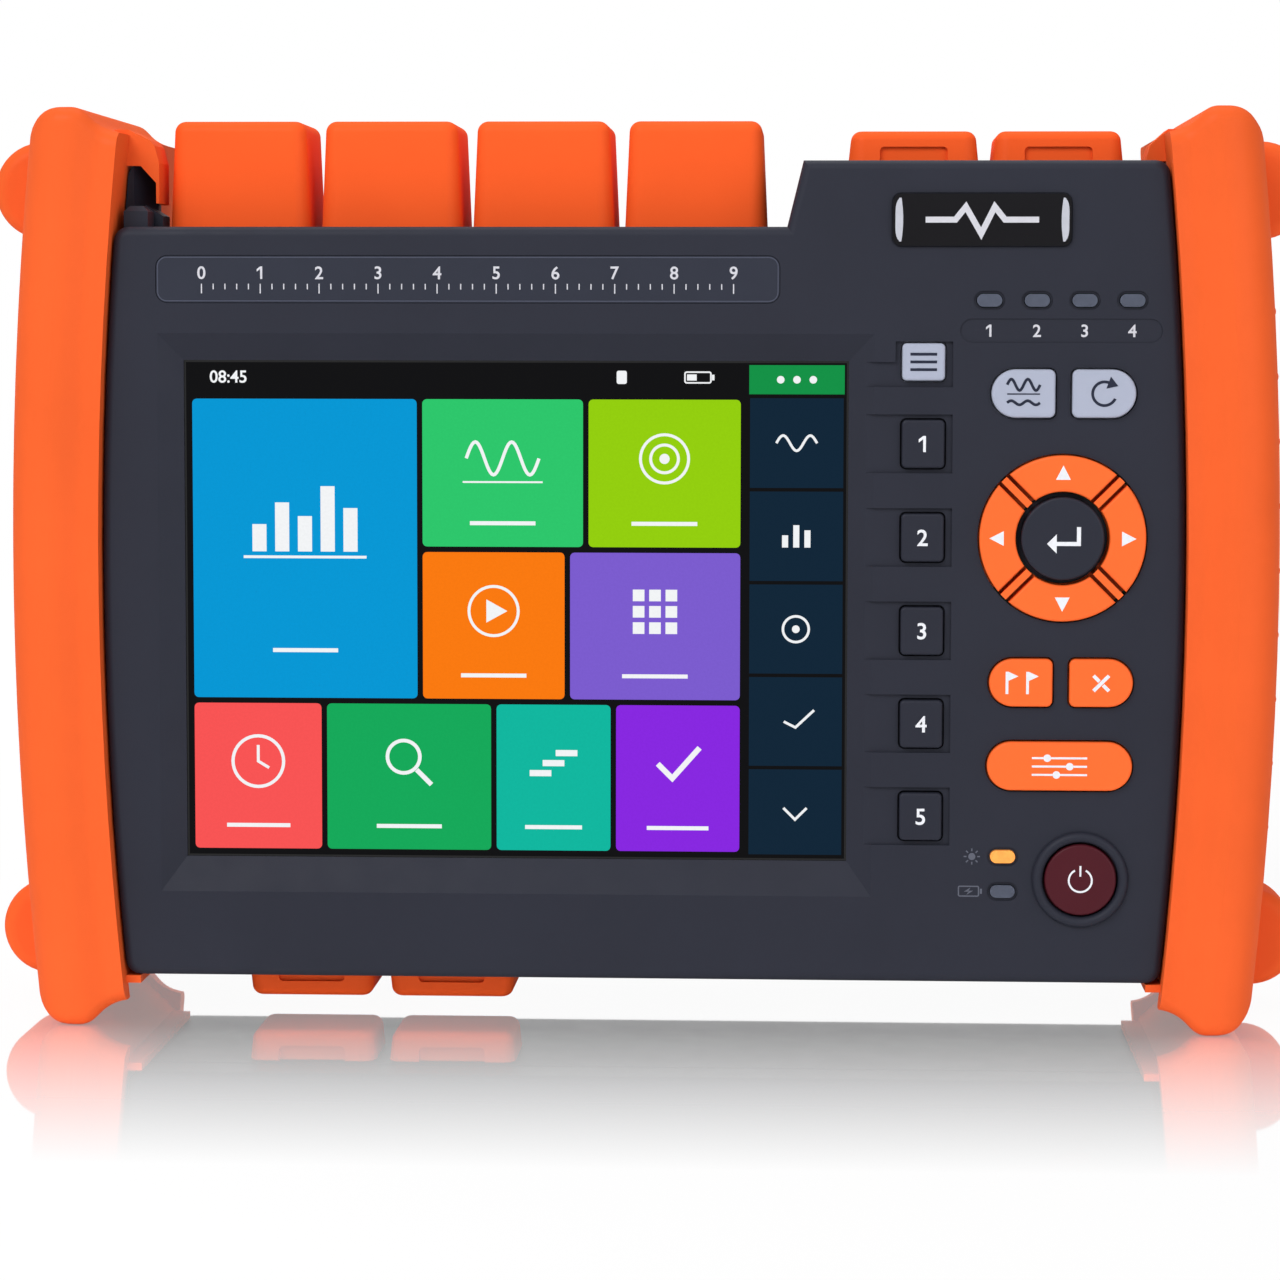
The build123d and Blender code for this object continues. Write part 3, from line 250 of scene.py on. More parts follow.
def circuit_board(name):
    """Green solder mask with lighter traces under it."""
    nodes = Nodes(name)
    cells = nodes.add("ShaderNodeTexBrick", Scale=160.0)
    nodes.join(nodes.place(), cells.inputs["Vector"])
    cells.inputs["Color1"].default_value = linear(22, 92, 54)
    cells.inputs["Color2"].default_value = linear(18, 78, 46)
    cells.inputs["Mortar"].default_value = linear(40, 120, 74)
    nodes.join(cells.outputs["Color"], nodes.shader.inputs["Base Color"])
    nodes.set(Roughness=0.35)
    return nodes.material


# Finishes of the record's material slots
slot_materials = {
    "case_plastic": moulded("case_plastic", linear(39, 41, 52), 0.5),
    "bumper_rubber": moulded("bumper_rubber", linear(240, 99, 46), 0.5, mottle=0.03, gloss=0.0,
                             coat=0.1),
    "cover_rubber": moulded("cover_rubber", linear(255, 97, 42), 0.5, mottle=0.03, gloss=0.0,
                            coat=0.08),
    "seal_rubber": moulded("seal_rubber", linear(24, 24, 28), 0.7),
    "window_glass": glossy("window_glass", linear(8, 8, 10), 0.1, gloss=0.3),
    "display_frame": glossy("display_frame", linear(22, 22, 24), 0.35),
    "label_film": moulded("label_film", linear(44, 47, 59), 0.4, depth=0.003 * MM),
    "badge_gloss": glossy("badge_gloss", linear(16, 15, 19), 0.15, gloss=0.1, coat=0.05),
    "light_diffuser": frosted("light_diffuser", linear(76, 82, 98)),
    "on_light": frosted("on_light", linear(255, 160, 74), glow=0.25),
    "dark_key": moulded("dark_key", linear(38, 40, 51), 0.45, depth=0.004 * MM),
    "light_key": moulded("light_key", linear(170, 176, 195), 0.45, depth=0.004 * MM, mottle=0.02),
    "orange_key": moulded("orange_key", linear(255, 108, 44), 0.45, depth=0.004 * MM, mottle=0.02,
                          gloss=0.2),
    "power_key_red": moulded("power_key_red", linear(72, 18, 29), 0.4, depth=0.003 * MM),
    "circuit_board": circuit_board("circuit_board"),
    "module_metal": metal("module_metal", linear(180, 182, 186), 0.38),
    "battery_wrap": moulded("battery_wrap", linear(36, 62, 120), 0.4),
    "pin_steel": metal("pin_steel", linear(170, 172, 176), 0.3),
    "screw_steel": metal("screw_steel", linear(130, 132, 138), 0.34),
    "port_nickel": metal("port_nickel", linear(200, 198, 192), 0.22),
    "socket_plastic": moulded("socket_plastic", linear(22, 22, 25), 0.5),
}

# Inks and small metal parts that the record has no slot for
pale_ink = printed("pale_ink", linear(232, 234, 240))
dark_ink = printed("dark_ink", linear(30, 35, 54))
silver_ink = printed("silver_ink", linear(206, 206, 214), 0.3)
shine_ink = printed("shine_ink", linear(190, 192, 202), 0.2)
outline_ink = printed("outline_ink", linear(70, 74, 90))
dim_ink = printed("dim_ink", linear(92, 95, 108))
# Near-black ink for the screws' cross recesses: painted shade where the steel hollow is only in
# shadow
painted_recess_shade = printed("painted_recess_shade", linear(12, 12, 14), 0.6)
contact_gold = metal("contact_gold", linear(220, 178, 92), 0.25)


def dress_solids():
    for part in frame["record"]["subparts"]:
        solid = frame["nodes"][part["node"]]
        solid.data.materials.clear()
        solid.data.materials.append(slot_materials[part["material_slot"]])


# Flat outlines, as lists of (x, z) points with the faces they span

def arc(x, z, radius, start=0.0, sweep=360.0, count=40):
    closed = abs(sweep) >= 360
    steps = count if closed else count - 1
    angles = [math.radians(start + sweep * i / steps) for i in range(count)]
    return [(x + radius * math.cos(a), z + radius * math.sin(a)) for a in angles]


def rounded(x, z, width, height, radius, count=8):
    points = []
    for side, up, start in ((1, 1, 0), (-1, 1, 90), (-1, -1, 180), (1, -1, 270)):
        corner_x = x + side * (width / 2 - radius)
        corner_z = z + up * (height / 2 - radius)
        points += arc(corner_x, corner_z, radius, start, 90.0, count)
    return points


def filled(points):
    return points, [tuple(range(len(points)))]


def band(inner, outer, closed=True):
    """A strip between two outlines with as many points each."""
    count = len(inner)
    steps = count if closed else count - 1
    faces = [(i, (i + 1) % count, count + (i + 1) % count, count + i) for i in range(steps)]
    return inner + outer, faces


def ring(x, z, inner, outer, start=0.0, sweep=360.0):
    return band(arc(x, z, inner, start, sweep), arc(x, z, outer, start, sweep), abs(sweep) >= 360)


def disc(x, z, radius):
    return filled(arc(x, z, radius, count=DISC_POINTS))


def frame_band(x, z, width, height, radius, line):
    outer = rounded(x, z, width, height, radius)
    inner = rounded(x, z, width - 2 * line, height - 2 * line, radius - line)
    return band(inner, outer)


def stroke(points, width):
    """A line of even width through points, with mitred turns."""
    left, right = [], []
    for i, point in enumerate(points):
        before = Vector(points[max(i - 1, 0)])
        after = Vector(points[min(i + 1, len(points) - 1)])
        here = Vector(point)
        into = (here - before).normalized() if i else (after - here).normalized()
        out = (after - here).normalized() if i < len(points) - 1 else into
        normal = Vector((-(into + out).y, (into + out).x)).normalized()
        reach = width / 2 / max(0.3, normal.dot(Vector((-into.y, into.x))))
        left.append(tuple(here + normal * reach))
        right.append(tuple(here - normal * reach))
    return band(left, right, closed=False)


def bar(x, z, width, height):
    left, right, low, high = x - width / 2, x + width / 2, z - height / 2, z + height / 2
    return filled([(left, low), (right, low), (right, high), (left, high)])


def wave_points(x, z, width, height, turns, count=33):
    shares = [i / (count - 1) for i in range(count)]
    return [(x + width * (s - 0.5), z + height / 2 * math.sin(2 * math.pi * turns * s))
            for s in shares]


# Pieces

def finish_mesh(mesh, name, material, body):
    bmesh.ops.recalc_face_normals(mesh, faces=mesh.faces)
    data = bpy.data.meshes.new(name)
    mesh.to_mesh(data)
    mesh.free()
    data.materials.append(material)
    piece = bpy.data.objects.new(name, data)
    bpy.context.scene.collection.objects.link(piece)
    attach(piece, body)
    return piece


def flat_piece(name, shapes, back, thickness, material, body, facing=-1):
    """Solid plates of the given outlines that stand out towards the front, or the back."""
    mesh = bmesh.new()
    for order, (points, faces) in enumerate(shapes):
        corners = [mesh.verts.new((x, back, z)) for x, z in points]
        plate = [mesh.faces.new([corners[i] for i in face]) for face in faces]
        grown = bmesh.ops.extrude_face_region(mesh, geom=plate)
        moved = [item for item in grown["geom"] if isinstance(item, bmesh.types.BMVert)]
        reach = thickness + order % SHAPE_LEVELS * SHAPE_STEP
        bmesh.ops.translate(mesh, verts=moved, vec=(0, facing * reach, 0))
    return finish_mesh(mesh, name, material, body)


def boxes_piece(name, boxes, material, body):
    """Small blocks, each given by its lowest and highest corners."""
    mesh = bmesh.new()
    for low, high in boxes:
        block = bmesh.ops.create_cube(mesh, size=1.0)
        for vert in block["verts"]:
            vert.co = Vector([low[i] if vert.co[i] < 0 else high[i] for i in range(3)])
    return finish_mesh(mesh, name, material, body)


def ink(name, node, shapes, material, body):
    """Printed marks on the front face of a solid."""
    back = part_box(node)[0].y + INK_SINK
    return flat_piece(name, shapes, back, INK_THICKNESS, material, body)


def key_sign(name, key, shapes, dark=False):
    """A pale or dark sign that is printed on a key and moves with it."""
    material, slot = (dark_ink, "dark_key") if dark else (pale_ink, "light_key")
    return ink(name, key, shapes, material, key)


def middle(node):
    low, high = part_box(node)
    return (low.x + high.x) / 2, (low.z + high.z) / 2


def one_shapes(x, z, height):
    """The numeral 1 with its flag, which the built-in font leaves out."""
    tall = height * CAPITAL_SHARE
    stem = height * STEM_SHARE
    reach, drop = 1.6 * stem, 1.2 * stem
    top = z + tall / 2
    flag = filled([(x, top), (x, top - drop), (x - reach, top - 2 * drop), (x - reach, top - drop)])
    return [bar(x + stem / 2, z, stem, tall), flag]


def number_piece(name, text, x, z, height, front, material, body):
    """A plain numeral, centred on x and z, that faces the front."""
    if text == "1":
        return flat_piece(name, one_shapes(x, z, height), front + INK_SINK, INK_THICKNESS, material,
                          body)
    curve = bpy.data.curves.new(name, "FONT")
    curve.body = text
    curve.size = height
    curve.extrude = INK_THICKNESS / 2
    curve.offset = height * WEIGHT_SHARE
    curve.resolution_u = 4
    drawn = bpy.data.objects.new(name, curve)
    bpy.context.scene.collection.objects.link(drawn)
    bpy.context.view_layer.update()
    scene_now = bpy.context.evaluated_depsgraph_get()
    data = bpy.data.meshes.new_from_object(drawn.evaluated_get(scene_now))
    bpy.data.objects.remove(drawn)
    xs = [v.co.x for v in data.vertices]
    ys = [v.co.y for v in data.vertices]
    data.transform(Matrix.Translation((-(min(xs) + max(xs)) / 2, -(min(ys) + max(ys)) / 2, 0)))
    data.transform(Matrix.Rotation(math.radians(90), 4, "X"))
    data.transform(Matrix.Translation((x, front + INK_SINK - INK_THICKNESS / 2, z)))
    mesh = bmesh.new()
    mesh.from_mesh(data)
    bpy.data.meshes.remove(data)
    bmesh.ops.remove_doubles(mesh, verts=mesh.verts, dist=INK_THICKNESS / 100)
    return finish_mesh(mesh, name, material, body)


# Marks on the keys

SOFT_KEY_COUNT = 5
soft_keys = [f"soft_key_{number}" for number in range(1, SOFT_KEY_COUNT + 1)]


def mark_soft_keys():
    for number, key in enumerate(soft_keys, 1):
        x, z = middle(key)
        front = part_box(key)[0].y
        number_piece(f"{key}_numeral", str(number), x, z, KEY_NUMERAL, front, pale_ink, key)


def mark_arrow_keys():
    """A triangle on each arrow key that points away from the enter key."""
    half_width = 1.45 * MM
    depth = 2.8 * MM
    inset = 0.3 * MM             # from the middle of the key towards the enter key
    hub = Vector(middle("enter_key"))
    low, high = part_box("enter_key")
    inner = (high.x - low.x) / 2
    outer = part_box("right_key")[1].x - hub.x
    for key, turn in (("right_key", 0), ("up_key", 90), ("left_key", 180), ("down_key", 270)):
        angle = math.radians(turn)
        along = Vector((math.cos(angle), math.sin(angle)))
        across = Vector((-along.y, along.x)) * half_width
        centre = hub + along * ((inner + outer) / 2 - inset)
        foot = centre - along * depth / 2
        points = [centre + along * depth / 2, foot + across, foot - across]
        key_sign(f"{key}_arrow", key, [filled([tuple(p) for p in points])])


def mark_enter_key():
    """An arrow that comes down and turns to the left."""
    reach, drop = 3.1 * MM, 1.0 * MM
    rise, head, line = 3.3 * MM, 1.9 * MM, 0.8 * MM
    x, z = middle("enter_key")
    left, right, low = x - reach, x + reach, z - drop
    shaft = stroke([(right, low + rise), (right, low), (left + head, low)], line)
    tip = filled([(left, low), (left + head, low + head), (left + head, low - head)])
    key_sign("enter_key_arrow", "enter_key", [shaft, tip])


def mark_menu_key():
    """Three lines."""
    width, pitch = 5.2 * MM, 1.5 * MM
    x, z = middle("menu_key")
    lines = [bar(x, z + i * pitch, width, LINE) for i in (-1, 0, 1)]
    key_sign("menu_key_lines", "menu_key", lines, dark=True)


def mark_average_key():
    """A high wave over a low one, with a thin line between them."""
    width, turns = 6.4 * MM, 2.0
    x, z = middle("average_key")
    wave = stroke(wave_points(x, z + 1.7 * MM, width, 2.2 * MM, turns), LINE)
    ripple = stroke(wave_points(x, z - 1.8 * MM, width, 0.8 * MM, turns), LINE)
    divider = bar(x, z - 0.1 * MM, width, 0.25 * MM)
    key_sign("average_key_wave", "average_key", [wave, divider, ripple], dark=True)


def mark_auto_key():
    """A round arrow."""
    radius = 2.3 * MM
    start, sweep = 70.0, 265.0
    head_half, head_length = 1.25 * MM, 2.0 * MM
    x, z = middle("auto_key")
    loop = ring(x, z, radius - LINE / 2, radius + LINE / 2, start, sweep)
    angle = math.radians(start)
    root = Vector((x + radius * math.cos(angle), z + radius * math.sin(angle)))
    outward = Vector((math.cos(angle), math.sin(angle)))
    ahead = Vector((math.sin(angle), -math.cos(angle)))
    head = [root + outward * head_half, root + ahead * head_length, root - outward * head_half]
    key_sign("auto_key_loop", "auto_key", [loop, filled([tuple(p) for p in head])], dark=True)


def mark_marker_key():
    """Two flags."""
    spread, shift = 2.0 * MM, 0.7 * MM
    height = 4.4 * MM
    flag_reach, flag_drop = 2.2 * MM, 0.9 * MM
    x, z = middle("marker_key")
    top = z + height / 2
    shapes = []
    for side in (-1, 1):
        mast = x + side * spread - shift
        edge = mast + LINE / 2
        shapes.append(bar(mast, z, LINE, height))
        shapes.append(filled([(edge, top), (mast + flag_reach, top - flag_drop),
                              (edge, top - 2 * flag_drop)]))
    key_sign("marker_key_flags", "marker_key", shapes)


def mark_escape_key():
    """A cross of one whole line and two that stop short of it."""
    reach, gap, line = 1.5 * MM, 0.36 * MM, 0.7 * MM
    x, z = middle("escape_key")
    shapes = [stroke([(x - reach, z - reach), (x + reach, z + reach)], line),
              stroke([(x - reach, z + reach), (x - gap, z + gap)], line),
              stroke([(x + gap, z - gap), (x + reach, z - reach)], line)]
    key_sign("escape_key_cross", "escape_key", shapes)


def mark_setup_key():
    """Three sliders."""
    half, pitch, line = 5.4 * MM, 1.65 * MM, 0.4 * MM
    knob_radius = 0.75 * MM
    x, z = middle("setup_key")
    shapes = []
    for row, place in ((1, -2.4 * MM), (0, 2.0 * MM), (-1, -0.6 * MM)):
        level = z + row * pitch
        knob = x + place
        for start, end in ((x - half, knob - knob_radius), (knob + knob_radius, x + half)):
            shapes.append(bar((start + end) / 2, level, end - start, line))
        shapes.append(disc(knob, level, knob_radius))
    key_sign("setup_key_sliders", "setup_key", shapes)


def mark_power_key():
    """A ring that is open at the top, with an upright line in the gap."""
    radius, drop, line = 2.45 * MM, 0.1 * MM, 0.38 * MM
    start, sweep = 118.0, 304.0
    rise, height = 1.75 * MM, 2.1 * MM
    x, z = middle("power_key")
    loop = ring(x, z - drop, radius - line, radius, start, sweep)
    key_sign("power_key_sign", "power_key", [loop, bar(x, z + rise, line, height)])


# Marks on the case

SCALE_STEPS = 9
SCALE_PARTS = 5              # ticks in a step
SCALE_MARGIN = 9.0 * MM      # from the plate's ends to the outer ticks
PULSE_PLACES = ((-11.0, 0), (-5.2, 0), (-3.2, 2.5), (-0.2, -2.7), (2.4, 2.5), (4.4, 0), (11.0, 0))
SIGN_GAP = 3.6 * MM          # from the on light to the middle of its sign


def case_ink(name, node, shapes, material):
    return ink(name, node, shapes, material, "case")


def case_numeral(name, text, x, z, height, front):
    return number_piece(name, text, x, z, height, front, silver_ink, "case")


def mark_title_plate():
    """A plain numbered scale with a thin border."""
    margin, radius, line = 0.4 * MM, 1.9 * MM, 0.22 * MM
    tick_drop, long_tick, short_tick = 0.9 * MM, 1.9 * MM, 1.1 * MM
    numeral_rise = 1.25 * MM
    low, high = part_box("title_plate")
    x, z = middle("title_plate")
    width = high.x - low.x
    border = frame_band(x, z, width - margin, high.z - low.z - margin, radius, line)
    ink("title_plate_border", "title_plate", [border], outline_ink, "case")
    start = low.x + SCALE_MARGIN
    step = (width - 2 * SCALE_MARGIN) / SCALE_STEPS
    ticks = []
    for i in range(SCALE_STEPS * SCALE_PARTS + 1):
        length = short_tick if i % SCALE_PARTS else long_tick
        ticks.append(bar(start + i * step / SCALE_PARTS, z - tick_drop - length / 2, line, length))
    case_ink("title_plate_ticks", "title_plate", ticks, silver_ink)
    for i in range(SCALE_STEPS + 1):
        case_numeral(f"title_plate_numeral_{i}", str(i), start + i * step, z + numeral_rise,
                     SCALE_NUMERAL, low.y)


def mark_badge():
    """A pulse between the bright curved ends of the domed plate."""
    end_share = 0.84             # the ends' height, of the plate's
    gap, pull, depth, bulge = 0.45 * MM, 0.8 * MM, 1.95 * MM, 0.35 * MM
    steps = 8
    pulse_line = 1.15 * MM
    low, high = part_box("badge_plate")
    x, z = middle("badge_plate")
    half = end_share * (high.z - low.z) / 2
    rows = [i / steps - 1 for i in range(2 * steps + 1)]
    shapes = []
    for side in (-1, 1):
        edge = x + side * (high.x - low.x) / 2
        outer = [(edge - side * (gap + pull * abs(s) ** 5), z + half * s) for s in rows]
        inner = [(edge - side * (depth - bulge * s * s), z + half * s) for s in rows]
        shapes.append(band(inner, outer, closed=False))
    case_ink("badge_ends", "badge_plate", shapes, shine_ink)
    pulse = stroke([(x + px * MM, z + pz * MM) for px, pz in PULSE_PLACES], pulse_line)
    case_ink("badge_pulse", "badge_plate", [pulse], silver_ink)


def mark_lights():
    """Numbers under the status lights, and plain signs beside the other two."""
    low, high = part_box("status_light_pipes")
    level = (low.z + high.z) / 2 - LABEL_DROP
    pitch = (high.x - low.x - LIGHT_WIDTH) / (LIGHT_COUNT - 1)
    for i in range(LIGHT_COUNT):
        case_numeral(f"status_light_numeral_{i + 1}", str(i + 1),
                     low.x + LIGHT_WIDTH / 2 + i * pitch, level, LIGHT_NUMERAL,
                     CASE_FACE + LABEL_DEPTH)
    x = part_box("on_light_pipe")[0].x - SIGN_GAP
    for name, shapes in (("on_light", sun_shapes(x, middle("on_light_pipe")[1])),
                         ("charge_light", battery_shapes(x, middle("charge_light_pipe")[1]))):
        flat_piece(f"{name}_sign", shapes, CASE_FACE + INK_SINK, INK_THICKNESS, dim_ink, "case")


def sun_shapes(x, z):
    radius, ray_start, ray_end, line = 0.7 * MM, 1.05 * MM, 1.6 * MM, 0.25 * MM
    shapes = [disc(x, z, radius)]
    for turn in range(0, 360, 45):
        angle = math.radians(turn)
        across, up = math.cos(angle), math.sin(angle)
        shapes.append(stroke([(x + ray_start * across, z + ray_start * up),
                              (x + ray_end * across, z + ray_end * up)], line))
    return shapes


def battery_shapes(x, z):
    """A battery's outline with a bolt of two wedges."""
    wedges = (((-0.2, 0.75), (-1.5, -0.1), (-0.7, -0.1)), ((-1.0, -0.75), (0.3, 0.1), (-0.5, 0.1)))
    outline = frame_band(x - 0.6 * MM, z, 4.2 * MM, 2.2 * MM, 0.4 * MM, 0.25 * MM)
    bolt = [filled([(x + px * MM, z + pz * MM) for px, pz in wedge]) for wedge in wedges]
    return [outline, bar(x + 1.85 * MM, z, 0.4 * MM, 1.0 * MM)] + bolt


# The display's picture: a plain start screen with fields of its own layout

BAR_SHARE = 0.066            # height of the status bar, of the display's
COLUMN_SHARE = 0.157         # width of the right column, of the display's
GRID_COLUMNS = 12
GRID_ROWS = 3
TILE_GAP = 1.1 * MM
LAYER = 0.05 * MM

lit_colors = {
    "black": linear(14, 14, 16), "white": linear(244, 246, 248), "green_head": linear(16, 146, 70),
    "cell": linear(13, 37, 56), "blue": linear(0, 152, 214), "green": linear(44, 200, 108),
    "lime": linear(148, 208, 8), "deep_green": linear(18, 170, 90), "purple": linear(124, 92, 208),
    "orange": linear(252, 122, 10), "teal": linear(12, 184, 160), "violet": linear(136, 38, 226),
    "red": linear(250, 84, 84),
}
lit_materials = {name: lit(f"lit_{name}", color) for name, color in lit_colors.items()}


def picture(name, shapes, color, layer):
    """One layer of the picture; each layer stands in front of the one below it."""
    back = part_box("touch_window")[0].y - layer * LAYER + INK_SINK
    return flat_piece(f"picture_{name}", shapes, back, LAYER + INK_SINK, lit_materials[color],
                      "case")


def display_area():
    low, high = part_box("touch_window")
    return (low.x + WINDOW_BORDER, high.x - WINDOW_BORDER,
            low.z + WINDOW_BORDER, high.z - WINDOW_BORDER)


def draw_column(left, right, low, high, bar_low):
    """The right column: a head with three dots, and a cell beside each soft key."""
    dot_pitch, dot_radius = 3.2 * MM, 0.75 * MM
    line = 0.35 * MM
    heights = [middle(key)[1] for key in soft_keys]
    pitch = heights[0] - heights[1]
    width = right - left
    x = (left + right) / 2
    head_z = (high + bar_low) / 2
    picture("head", [bar(x, head_z, width, high - bar_low)], "green_head", 1)
    dots = [disc(x + i * dot_pitch, head_z, dot_radius) for i in (-1, 0, 1)]
    picture("head_dots", dots, "white", 2)
    cells = []
    for z in heights:
        top = min(z + pitch / 2, bar_low) - line
        bottom = max(z - pitch / 2, low) + line
        cells.append(bar(x, (top + bottom) / 2, width - line, top - bottom))
    picture("cells", cells, "cell", 1)
    draw_cell_signs(x, heights)


def draw_cell_signs(x, heights):
    thin, size = 0.5 * MM, 2.3 * MM
    column_pitch, column_width, tallest = 2.2 * MM, 1.2 * MM, 4.4 * MM
    wave, columns, target, tick, down = heights
    signs = [stroke(wave_points(x, wave, 8.0 * MM, 3.0 * MM, 1.5), thin)]
    for i, height in ((-1, 2.4 * MM), (0, tallest), (1, 3.4 * MM)):
        level = columns + (height - tallest) / 2
        signs.append(bar(x + i * column_pitch, level, column_width, height))
    signs += [ring(x, target, size, size + thin), disc(x, target, size / 3)]
    left, right = x - size, x + size
    for points in ([(left, tick), (x, tick - size / 2), (x + 1.6 * size, tick + size)],
                   [(left, down + size / 2), (x, down - size / 2), (right, down + size / 2)]):
        signs.append(stroke(points, thin))
    picture("cell_signs", signs, "white", 2)


def tile_box(area, columns, rows):
    """The box of a tile that covers the given twelfths of the width and rows from the top."""
    left, right, low, high = area
    step_x = (right - left + TILE_GAP) / GRID_COLUMNS
    step_z = (high - low + TILE_GAP) / GRID_ROWS
    x0 = left + columns[0] * step_x
    x1 = left + columns[1] * step_x - TILE_GAP
    z1 = high - rows[0] * step_z
    z0 = high - rows[1] * step_z + TILE_GAP
    return (x0 + x1) / 2, (z0 + z1) / 2, x1 - x0, z1 - z0


# Signs on the tiles, drawn round a middle in shares of their size

def icon_chart(x, z, size):
    pitch = size * 0.42
    columns = []
    for i, height in enumerate((0.5, 0.9, 0.65, 1.2, 0.8)):
        level = z + size * (height / 2 - 0.6)
        columns.append(bar(x + (i - 2) * pitch, level, pitch * 0.62, size * height))
    return columns + [bar(x, z - size * 0.7, pitch * 5.4, size * 0.05)]


def icon_wave(x, z, size):
    return [stroke(wave_points(x, z, size * 2, size * 0.9, 2.0, 49), size * 0.09),
            bar(x, z - size * 0.65, size * 2.2, size * 0.05)]


def icon_target(x, z, size):
    return [ring(x, z, size * 0.62, size * 0.7), ring(x, z, size * 0.34, size * 0.42),
            filled(arc(x, z, size * 0.14))]


def icon_play(x, z, size):
    left, right, half = x - size * 0.2, x + size * 0.38, size * 0.32
    return [ring(x, z, size * 0.64, size * 0.72),
            filled([(left, z - half), (right, z), (left, z + half)])]


def icon_grid(x, z, size):
    step, side = size * 0.45, size * 0.32
    return [bar(x + i * step, z + j * step, side, side) for i in (-1, 0, 1) for j in (-1, 0, 1)]


def icon_clock(x, z, size):
    hands = stroke([(x, z + size * 0.45), (x, z), (x + size * 0.3, z - size * 0.18)], size * 0.08)
    return [ring(x, z, size * 0.66, size * 0.75), hands]


def icon_lens(x, z, size):
    shift, start, end = size * 0.15, size * 0.21, size * 0.62
    return [ring(x - shift, z + shift, size * 0.4, size * 0.5),
            stroke([(x + start, z - start), (x + end, z - end)], size * 0.13)]


def icon_check(x, z, size):
    points = [(x - size * 0.55, z), (x - size * 0.15, z - size * 0.4),
              (x + size * 0.6, z + size * 0.45)]
    return [stroke(points, size * 0.15)]


def icon_steps(x, z, size):
    return [bar(x + i * size * 0.36, z + i * size * 0.28, size * 0.6, size * 0.17)
            for i in (-1, 0, 1)]


# Name, colour, columns and rows covered, sign, and the sign's scale
tiles = [
    ("trend", "blue", (0, 5), (0, 2), icon_chart, 1.5),
    ("wave", "green", (5, 8.6), (0, 1), icon_wave, 1.0),
    ("target", "lime", (8.6, 12), (0, 1), icon_target, 1.0),
    ("play", "orange", (5, 8.2), (1, 2), icon_play, 1.0),
    ("grid", "purple", (8.2, 12), (1, 2), icon_grid, 1.0),
    ("clock", "red", (0, 2.9), (2, 3), icon_clock, 1.0),
    ("lens", "deep_green", (2.9, 6.6), (2, 3), icon_lens, 1.0),
    ("steps", "teal", (6.6, 9.2), (2, 3), icon_steps, 1.0),
    ("check", "violet", (9.2, 12), (2, 3), icon_check, 1.0),
]
TILE_ICON = 7.2 * MM
TILE_RADIUS = 0.9 * MM
TILE_SIGN_RISE = 0.1         # from the tile's middle, of its height
CAPTION_DROP = 0.34          # from the tile's middle, of its height
CAPTION_SHARE = 0.5          # of the tile's width
CAPTION_WIDTH = 13.0 * MM    # at most
CAPTION_LINE = 0.8 * MM


def draw_tiles(area):
    for name, color, columns, rows, icon, scale in tiles:
        x, z, width, height = tile_box(area, columns, rows)
        picture(name, [filled(rounded(x, z, width, height, TILE_RADIUS, 5))], color, 1)
        marks = icon(x, z + height * TILE_SIGN_RISE, TILE_ICON * scale)
        caption = bar(x, z - height * CAPTION_DROP, min(width * CAPTION_SHARE, CAPTION_WIDTH),
                      CAPTION_LINE)
        picture(f"{name}_icon", marks + [caption], "white", 2)


def draw_status_bar(left, right, low, high):
    """A plain clock reading at the left, a card and a half full battery at the right."""
    z = (low + high) / 2
    cell = right - 9.0 * MM
    card = right - 24.0 * MM
    shapes = [frame_band(cell, z, 5.4 * MM, 2.4 * MM, 0.5 * MM, 0.3 * MM),
              bar(cell - 1.2 * MM, z, 1.9 * MM, 1.2 * MM),
              bar(cell + 3.0 * MM, z, 0.5 * MM, 1.1 * MM),
              filled(rounded(card, z, 2.0 * MM, 2.6 * MM, 0.4 * MM, 4))]
    picture("status_signs", shapes, "white", 1)
    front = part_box("touch_window")[0].y - LAYER
    number_piece("picture_clock_numerals", "08:45", left + 8.0 * MM, z, CLOCK_NUMERAL, front,
                 lit_materials["white"], "case")


def draw_display():
    left, right, low, high = display_area()
    bar_low = high - (high - low) * BAR_SHARE
    column_left = right - (right - left) * COLUMN_SHARE
    edge = 0.8 * MM              # bare glass round the picture
    ground = bar((left + right) / 2, (low + high) / 2, right - left - edge, high - low - edge)
    picture("ground", [ground], "black", 0)
    draw_status_bar(left + edge, column_left, bar_low, high)
    draw_column(column_left + TILE_GAP, right - edge, low + edge, high - edge, bar_low)
    draw_tiles((left + 2 * edge, column_left - TILE_GAP / 2,
                low + 2 * edge, bar_low - TILE_GAP))


# Details inside the sockets and on the screws

def contacts(name, boxes):
    boxes_piece(f"{name}_contacts", boxes, contact_gold, "case")


def dress_network_sockets():
    """Eight sprung contacts along the back wall of each network socket."""
    count, pitch, width = 8, 1.02 * MM, 0.5 * MM
    wall = 3.5 * MM              # from the socket's middle to its back wall
    proud, sunk = 0.6 * MM, 0.2 * MM
    start, end = 1.5 * MM, 9.0 * MM      # up from the socket's foot
    for name in ("network_socket", "tracker_socket"):
        low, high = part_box(name)
        x = (low.x + high.x) / 2
        wall_y = (low.y + high.y) / 2 + wall
        boxes = []
        for i in range(count):
            left = x + (i - (count - 1) / 2) * pitch - width / 2
            boxes.append(((left, wall_y - proud, low.z + start),
                          (left + width, wall_y + sunk, low.z + end)))
        contacts(name, boxes)


